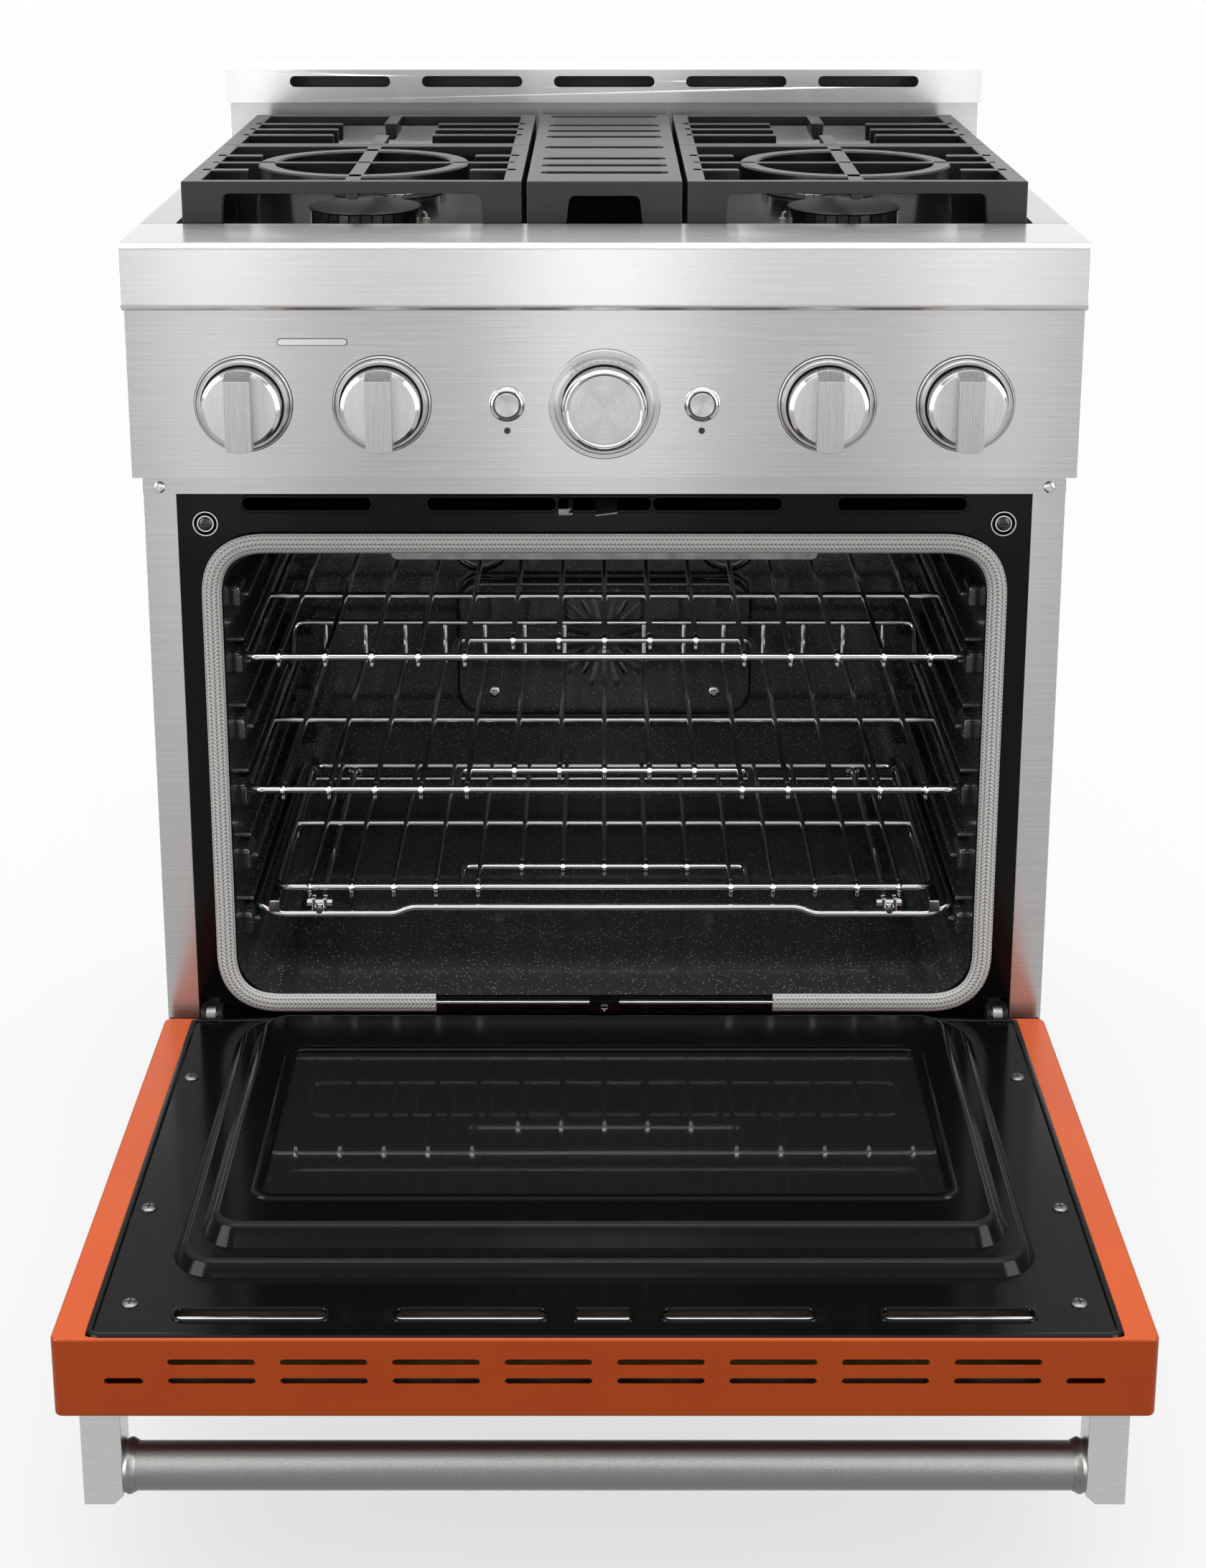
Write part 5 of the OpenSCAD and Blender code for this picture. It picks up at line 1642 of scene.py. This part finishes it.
@dataclass
class Handle:
    """The door's square posts, dark collars and knurled bar."""

    posts: Box = field(default_factory=lambda: Box.of("handle_posts"))
    bar: Box = field(default_factory=lambda: Box.of("handle_bar"))
    post_w: float = 28.0
    chamfer: float = 7.0

    def build(self) -> None:
        """Makes the posts, the collars and the bar."""
        x1 = self.posts.x[1]
        y, z = self.posts.y, self.posts.z
        middle = (self.bar.mid(1), self.bar.mid(2))
        r = (self.bar.z[1] - self.bar.z[0]) / 2
        # the posts are as deep as they are wide, less than the collars
        depth = (middle[0] - 14, middle[0] + 14)
        post = block((x1 - self.post_w, x1), depth, z)
        corner = [e for e in post.edges if all(abs(v.co.x - x1 + self.post_w) < 0.1 and v.co.z < z[0] + 0.1
                                               for v in e.verts)]
        bmesh.ops.bevel(post, geom=corner, offset=self.chamfer, offset_type="OFFSET", segments=1, profile=0.5,
                        affect="EDGES", material=-1)
        Kit.piece("handle_posts_square", mirrored(soften(post, 1.0, 3, 30)), STAINLESS_BRIGHT, "chrome",
                  ["handle_posts"], "door")
        end = x1 - self.post_w
        ring = lathe([(r - 1, 0), (r + 0.6, 0), (r + 2.0, 2.6), (r + 2.0, 4.4), (r - 0.2, 8.6), (r - 1, 8.6),
                      (r - 1, 0)], (end, *middle), Axis.X, 64)
        bmesh.ops.scale(ring, vec=(-1, 1, 1), verts=ring.verts, space=Matrix.Translation((-end, 0, 0)))
        bmesh.ops.reverse_faces(ring, faces=ring.faces)
        Kit.piece("handle_collars_chamfered", mirrored(ring), MILL_STEEL, "chrome", (), "door")
        length = 2 * end
        grip = lathe([(0, 0), (r - 0.4, 0), (r - 0.4, length), (0, length)], (-end, *middle), Axis.X, 96)
        Kit.piece("handle_bar_knurled", grip, KNURLED, "stainless", ["handle_bar"], "door")


@dataclass
class Cooktop:
    """The recessed pan, four burners and the iron grates."""

    pan: Box = field(default_factory=lambda: Box.of("cooktop_pan"))
    front: Box = field(default_factory=lambda: Box.of("grates_front"))
    rear: Box = field(default_factory=lambda: Box.of("grates_rear"))
    caps: Box = field(default_factory=lambda: Box.of("burner_caps"))
    burner_x: float = 206.3
    cap_r: float = 48.5
    teeth: int = 30
    tooth_half: float = 4.25
    grate_x0: float = 67.6
    foot: float = 34.0
    bar_deep: float = 10.0

    def burner_y(self) -> tuple[float, float]:
        """The middle of each row of burners.

        Returns:
            The Y of the front row and of the rear row.
        """
        return (self.caps.y[0] + self.cap_r, self.caps.y[1] - self.cap_r)

    def floor(self) -> None:
        """Makes the steel surround and the black enamelled pan in it."""
        Kit.piece("cooktop_surround", soften(traced("cooktop_pan"), 0.8, 2), STAINLESS, "pan_steel",
                  ["cooktop_pan"])
        y = (self.pan.y[0] + 2.6, Box.of("backguard").y[0] - 14.6)
        tray = open_box((-349.4, 349.4), y, (887.2, 907), Vector((0, 0, 1)), 0.8, 9)
        Kit.piece("cooktop_tray_enamelled", tray, PAN_ENAMEL, "pan_steel")

    def burners(self) -> None:
        """Makes each burner: a base whose black core shows through the ports as painted shade, a ring of
        ports, an enamelled cap and its spark electrode.
        """
        bases, rings, caps, sparks = [], [], [], []
        z = self.caps.z[0]
        for x in (-self.burner_x, self.burner_x):
            for y in self.burner_y():
                at = (x, y, 0)
                bases.append(lathe([(0, 886.5), (53, 886.5), (53, 889), (49, 891), (45, 892.5), (0, 892.5)],
                                   at))
                # the black core inside the teeth is painted shade that shows through the gaps between them
                bases.append(lathe([(0, 892), (44.2, 892), (44.2, z + 4.4), (0, z + 4.4)], at, Axis.Z, 48))
                rings.append(lathe([(43, 890.5), (47.6, 890.5), (47.8, 892), (46.2, 892.8), (43, 892.8)], at,
                                   Axis.Z, 72))
                for k in range(self.teeth):
                    tooth = block((43.4, 46.8), (-self.tooth_half, self.tooth_half), (892.5, z + 4.7))
                    bmesh.ops.rotate(tooth, verts=tooth.verts, cent=(0, 0, 0),
                                     matrix=Matrix.Rotation(TURN * k / self.teeth, 3, "Z"))
                    rings.append(shifted(tooth, x, y))
                r = self.cap_r
                caps.append(lathe([(0, z + 4.5), (r - 1.2, z + 4.5), (r - 0.3, z + 4.9), (r, z + 5.5),
                                   (r, z + 6.1), (r - 0.6, z + 6.7), (r - 2, z + 7), (0, z + 7)], at, Axis.Z,
                                  72))
                away = 1 if x > 0 else -1
                sparks.append(wire([(x - away * 52, y + 6, 887), (x - away * 52, y + 6, 899)], 3.2, 2,
                                   sides=12))
                sparks.append(wire([(x - away * 52, y + 6, 899), (x - away * 52, y + 6, 903),
                                    (x - away * 49, y + 6, 904.5)], 1.0, 2))
        Kit.piece("burner_bases_and_port_shade", join(*bases), CAP_ENAMEL, "aluminium", ["burner_heads"])
        Kit.piece("burner_port_rings", join(*rings), PORT_RING, "aluminium")
        Kit.piece("burner_caps_domed", join(*caps), CAP_ENAMEL, "porcelain", ["burner_caps"])
        Kit.piece("spark_electrodes", join(*sparks), CERAMIC, "porcelain")

    def surround(self, spot: Box, inner: float, outer: float) -> BMesh:
        """A grate's outer frame, standing on slanted legs with rounded openings between them.

        Args:
            spot: the grates' box.
            inner: the side nearer the middle of the range.
            outer: the side nearer its edge.

        Returns:
            A closed mesh.
        """
        (y0, y1), (z0, z1) = spot.y, spot.z
        body = block((inner, outer), (y0, y1), (z0, z1))
        hole = block((inner + 15, outer - 15), (y0 + 10, y1 - 10), (z0 - 2, z1 + 2))
        foot, high = self.foot, (z0 - 24, z1 - self.bar_deep)
        mouth = round_slab((inner + foot, outer - foot), high, (y0 - 2, y1 + 2), 5, Axis.Y, 6)
        flank = round_slab((y0 + foot, y1 - foot), high, (inner - 2, outer + 2), 5, Axis.X, 6)
        for cut, axis, middle in ((mouth, 0, (inner + outer) / 2), (flank, 1, (y0 + y1) / 2)):
            self.flare(cut, axis, middle, high[1], 0.08)
        for cut in (hole, mouth, flank):
            body = carve(body, cut)
        return soften(body, 1.0, 2, 30)

    def flare(self, bm: BMesh, axis: int, middle: float, top: float, slope: float) -> None:
        """Spreads a cutter's foot along an axis, so that its sides lean.

        Args:
            bm: the cutter, changed in place.
            axis: the number of the axis along which it spreads.
            middle: its middle along that axis.
            top: the height at which it keeps its width.
            slope: how far each side moves for each unit of depth.
        """
        for vert in bm.verts:
            side = 1 if vert.co[axis] > middle else -1
            vert.co[axis] += side * (top - vert.co.z) * slope

    def web(self, x: Span, y: float, top: float) -> BMesh:
        """The sloping web under a finger's root.

        Args:
            x: from the rail's side to where the web ends.
            y: the finger's middle.
            top: the grate's top.

        Returns:
            A closed wedge.
        """
        bm = block((min(x), max(x)), (y - 4, y + 4), (top - 26, top - 13))
        for vert in bm.verts:
            if vert.co.z < top - 20:
                vert.co.x += (x[0] - vert.co.x) * 0.85
        return soften(bm, 0.8, 1, 30)

    def bar(self, x: Span, y: Span, top: float, depth: float = 16.0) -> BMesh:
        """One cast bar, narrower below than above.

        Args:
            x: its two ends along X.
            y: its two ends along Y.
            top: height of its top.
            depth: how deep it is.

        Returns:
            The bar's mesh.
        """
        bm = block(x, y, (top - depth, top))
        middle = ((x[0] + x[1]) / 2, (y[0] + y[1]) / 2)
        thin = 1 if x[1] - x[0] > y[1] - y[0] else 0
        for vert in bm.verts:
            if vert.co.z < top - 1:
                vert.co[thin] += (middle[thin] - vert.co[thin]) * 0.3
        return soften(bm, 1.4, 2, 30)

    def front_grates(self) -> None:
        """Makes the front grates: a round wok ring with bars through it and fingers at each side."""
        top = self.front.z[1]
        y = self.burner_y()[0]
        cx = self.burner_x
        x0, x1 = self.grate_x0, self.front.x[1]
        y0, y1 = self.front.y
        parts = [self.surround(self.front, x0, x1)]
        ring = lathe([(75, top - 1.4), (76.4, top), (88.6, top), (90, top - 1.4), (88.4, top - 16),
                      (76.8, top - 16), (75, top - 1.4)], (cx, y, 0), Axis.Z, 96)
        parts += [ring, self.bar((x0 + 8, x1 - 8), (y - 4.5, y + 4.5), top),
                  self.bar((cx - 6.5, cx + 6.5), (y0 + 6, y1 - 6), top)]
        for side, rail in ((-1, x0 + 14), (1, x1 - 14)):
            for d in (-46, 46):
                parts.append(self.bar((cx + side * 113 - 20, cx + side * 113 + 20), (y + d - 6, y + d + 6),
                                      top))
            parts += [self.web((rail, rail - side * 16), y + d, top) for d in (-46, 0, 46)]
        Kit.piece("grates_front_cast", mirrored(join(*parts)), IRON, "cast_iron", ["grates_front"])

    def rear_grates(self) -> None:
        """Makes the rear grates, with fingers that point at the burner."""
        top = self.rear.z[1]
        y = self.burner_y()[1]
        cx = self.burner_x
        x0, x1 = self.grate_x0, self.rear.x[1]
        y0, y1 = self.rear.y
        parts = [self.surround(self.rear, x0, x1)]
        for side, rail in ((-1, x0 + 14), (1, x1 - 14)):
            for d in (-44, 0, 44):
                a, b = cx + side * 46, cx + side * 131
                parts.append(self.bar((min(a, b), max(a, b)), (y + d - 6, y + d + 6), top))
                parts.append(self.web((rail, rail - side * 16), y + d, top))
        parts.append(self.bar((cx - 6.5, cx + 6.5), (y0 + 6, y - 46), top))
        parts.append(self.bar((cx - 6.5, cx + 6.5), (y + 46, y1 - 6), top))
        Kit.piece("grates_rear_cast", mirrored(join(*parts)), IRON, "cast_iron", ["grates_rear"])

    def center_grate(self) -> None:
        """Makes the centre grate: a slotted top on closed sides, with a leaning mouth in front."""
        spot = Box.of("grate_center")
        (x0, x1), (y0, y1), (z0, z1) = spot.x, spot.y, spot.z
        body = block(spot.x, spot.y, spot.z)
        hollow = block((x0 + 8, x1 - 8), (y0 + 8, y1 - 8), (z0 - 2, z1 - 9))
        mouth = round_slab((-28.5, 28.5), (z0 - 20, z1 - 12), (y0 - 2, y0 + 40), 5, Axis.Y, 6)
        self.flare(mouth, 0, 0.0, z1 - 12, 0.11)
        step = (y1 - y0) * 45 / 476
        slots = [round_slab((-53, 53), (y0 + (k + 1.22) * step - 7, y0 + (k + 1.22) * step + 7),
                            (z1 - 12, z1 + 2), 6, Axis.Z, 4) for k in (0, 1, 2, 3.7, 5.4, 6.4, 7.4, 9)]
        for cut in (hollow, mouth, join(*slots)):
            body = carve(body, cut)
        Kit.piece("grate_center_cast", soften(body, 1.2, 2, 30), IRON, "cast_iron", ["grate_center"])

    def build(self) -> None:
        """Makes the whole cooktop."""
        self.floor()
        self.burners()
        self.front_grates()
        self.rear_grates()
        self.center_grate()


@dataclass
class Backguard:
    """The steel backguard and its slotted cap."""

    cap: Box = field(default_factory=lambda: Box.of("backguard_cap"))
    vents: tuple[float, ...] = (-265.6, -132.8, 0.0, 132.8, 265.6)

    def build(self) -> None:
        """Makes the guard, its cap, and black ducts behind the cap's slots, which are painted shade seen
        through them.
        """
        Kit.piece("backguard_folded", soften(traced("backguard"), 0.8, 2), STAINLESS_BRIGHT, "stainless",
                  ["backguard"])
        Kit.piece("backguard_cap_folded", soften(traced("backguard_cap"), 0.9, 3), STAINLESS_CAP, "stainless",
                  ["backguard_cap"])
        y, z = self.cap.y[0], 977.0
        # black open boxes behind the cap's slots: painted shade inside the vents
        ducts = [soften(open_box((m - 53, m + 53), (y + 2.2, y + 24), (z - 8, z + 8), FRONT, 0.8, 2), 0.2, 1)
                 for m in self.vents]
        Kit.piece("backguard_slot_shade", join(*ducts), PLASTIC, "black_plastic")


@dataclass
class Stage:
    """Floor, studio light and camera."""

    floor_size: float = 30.0
    glow: float = 0.95
    mirror_glow: float = 0.66
    shift: float = -0.18
    pitch: float = 15.14
    lens: float = 58.3516  # millimetres, on a frame 36 high
    eye: Point = (-0.0012, -2.0895, 1.2365)

    def floor(self) -> None:
        """Lays the pale floor."""
        half = self.floor_size / 2
        bm = bmesh.new()
        bmesh.ops.create_grid(bm, x_segments=1, y_segments=1, size=half)
        mesh = bpy.data.meshes.new("studio_floor")
        bm.to_mesh(mesh)
        bm.free()
        made = bpy.data.objects.new("studio_floor", mesh)
        made.location.z = -0.0005
        bpy.context.scene.collection.objects.link(made)
        paint = bpy.data.materials.new("matt_white_floor")
        paint.use_nodes = True
        tree = paint.node_tree
        tree.nodes.clear()
        # a white sweep lit from behind: its glow softens the shadow, and it throws little light back up
        rays = add(tree, "LightPath")
        matt, dull = [add(tree, "BsdfDiffuse", inputs={0: linear(code)}).outputs[0] for code in ("#f4f4f4",
                                                                                                 "#5a5a5a")]
        glow, mirrored_glow = [add(tree, "Emission", inputs={0: linear("#ffffff"), 1: power}).outputs[0]
                               for power in (self.glow, self.mirror_glow)]
        pale = add(tree, "MixShader", inputs={0: 0.75, 1: matt, 2: glow}).outputs[0]
        unseen = add(tree, "MixShader", inputs={0: rays.outputs["Is Glossy Ray"], 1: dull, 2: mirrored_glow})
        both = add(tree, "MixShader", inputs={0: rays.outputs["Is Camera Ray"], 1: unseen.outputs[0],
                                              2: pale})
        add(tree, "OutputMaterial", inputs={"Surface": both.outputs[0]})
        mesh.materials.append(paint)

    def lamp(self, name: str, at: Point, aim: Point, size: Span, power: float,
             mirror_only: bool = False) -> None:
        """Hangs one soft rectangular light.

        Args:
            name: the light's name.
            at: where it hangs, in metres.
            aim: what it faces.
            size: its width and height.
            power: its watts.
            mirror_only: whether it shows only as a highlight.
        """
        light = bpy.data.lights.new(name, "AREA")
        light.shape = "RECTANGLE"
        light.size, light.size_y = size
        light.energy = power
        held = bpy.data.objects.new(name, light)
        held.location = at
        held.rotation_euler = (Vector(aim) - Vector(at)).to_track_quat("-Z", "Y").to_euler()
        held.visible_diffuse = not mirror_only
        held.visible_camera = False
        bpy.context.scene.collection.objects.link(held)

    def sky(self) -> None:
        """Sets a white studio to the eye and a banded one to what the metal mirrors."""
        world = bpy.data.worlds.new("studio")
        bpy.context.scene.world = world
        world.use_nodes = True
        tree = world.node_tree
        tree.nodes.clear()
        way = add(tree, "SeparateXYZ", inputs={0: add(tree, "TexCoord").outputs["Generated"]})
        height = add(tree, "MapRange", inputs={0: way.outputs[2], 1: -1.0, 2: 1.0})
        bands = ramp(tree, height.outputs[0], [(0.0, "#8c8c8c"), (0.5, "#707070"), (0.62, "#666666"),
                                               (0.75, "#8f8f8f"), (0.933, "#e1e1e1"), (1.0, "#ffffff")])
        rays = add(tree, "LightPath")
        soft = add(tree, "Background", inputs={0: bands.outputs[0], 1: 2.2})
        seen = add(tree, "Background", inputs={0: linear("#ffffff"), 1: 1.0})
        whole = add(tree, "MixShader", inputs={0: rays.outputs["Is Camera Ray"], 1: soft.outputs[0],
                                               2: seen.outputs[0]})
        add(tree, "OutputWorld", inputs={"Surface": whole.outputs[0]})

    def camera(self) -> None:
        """Sets the camera a little above the cooktop, looking down into the open oven."""
        lens = bpy.data.cameras.new("view")
        lens.lens = self.lens
        lens.sensor_width = 36
        lens.shift_y = self.shift
        lens.clip_end = 60
        held = bpy.data.objects.new("view", lens)
        held.location = self.eye
        held.rotation_euler = (math.radians(90 - self.pitch), 0, 0)
        bpy.context.scene.collection.objects.link(held)
        bpy.context.scene.camera = held

    def build(self) -> None:
        """Sets the whole studio."""
        self.camera()
        self.floor()
        self.sky()
        self.lamp("key_over", (0.0, -1.2, 2.9), (0.0, -0.1, 0.6), (2.6, 1.6), 9)
        self.lamp("strip_left", (-2.3, -2.0, 1.2), (0.0, -0.3, 0.4), (1.5, 2.4), 68, True)
        self.lamp("strip_right", (2.3, -2.0, 1.2), (0.0, -0.3, 0.4), (1.5, 2.4), 64, True)
        self.lamp("front_low", (0.0, -3.4, 1.2), (0.0, 0.0, 0.5), (2.4, 1.2), 3)
        self.lamp("far_band", (0.0, -6.0, 0.35), (0.0, 0.0, 0.7), (7.0, 0.6), 15, True)
        self.lamp("line_over", (0.0, -1.0, 2.4), (0.0, -0.3, 0.2), (3.0, 0.12), 9, True)
        self.lamp("card_behind", (0.0, 3.0, 1.5), (0.0, 0.2, 0.95), (3.4, 0.9), 12, True)
        for name, x, wide, power in (("left", -0.66, 0.2, 0.9), ("middle", 0.0, 0.3, 1.5),
                                     ("right", 0.66, 0.2, 0.7)):
            self.lamp(f"upright_{name}", (x, -2.4, 0.6), (x, 0.0, 0.6), (wide, 1.6), power, True)
        bpy.context.scene.view_settings.view_transform = "Standard"


def main() -> None:
    """Builds every sub-assembly in order, then the studio."""
    logging.basicConfig(level=logging.INFO, format="%(name)s: %(message)s")
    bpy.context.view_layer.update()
    for part in (Cabinet(), Frontage(), Controls(), OvenFront(), Cavity(), Racks(), Door(), Handle(),
                 Cooktop(), Backguard(), Stage()):
        log.info("building %s", type(part).__name__)
        part.build()


if __name__ == "__main__":
    main()
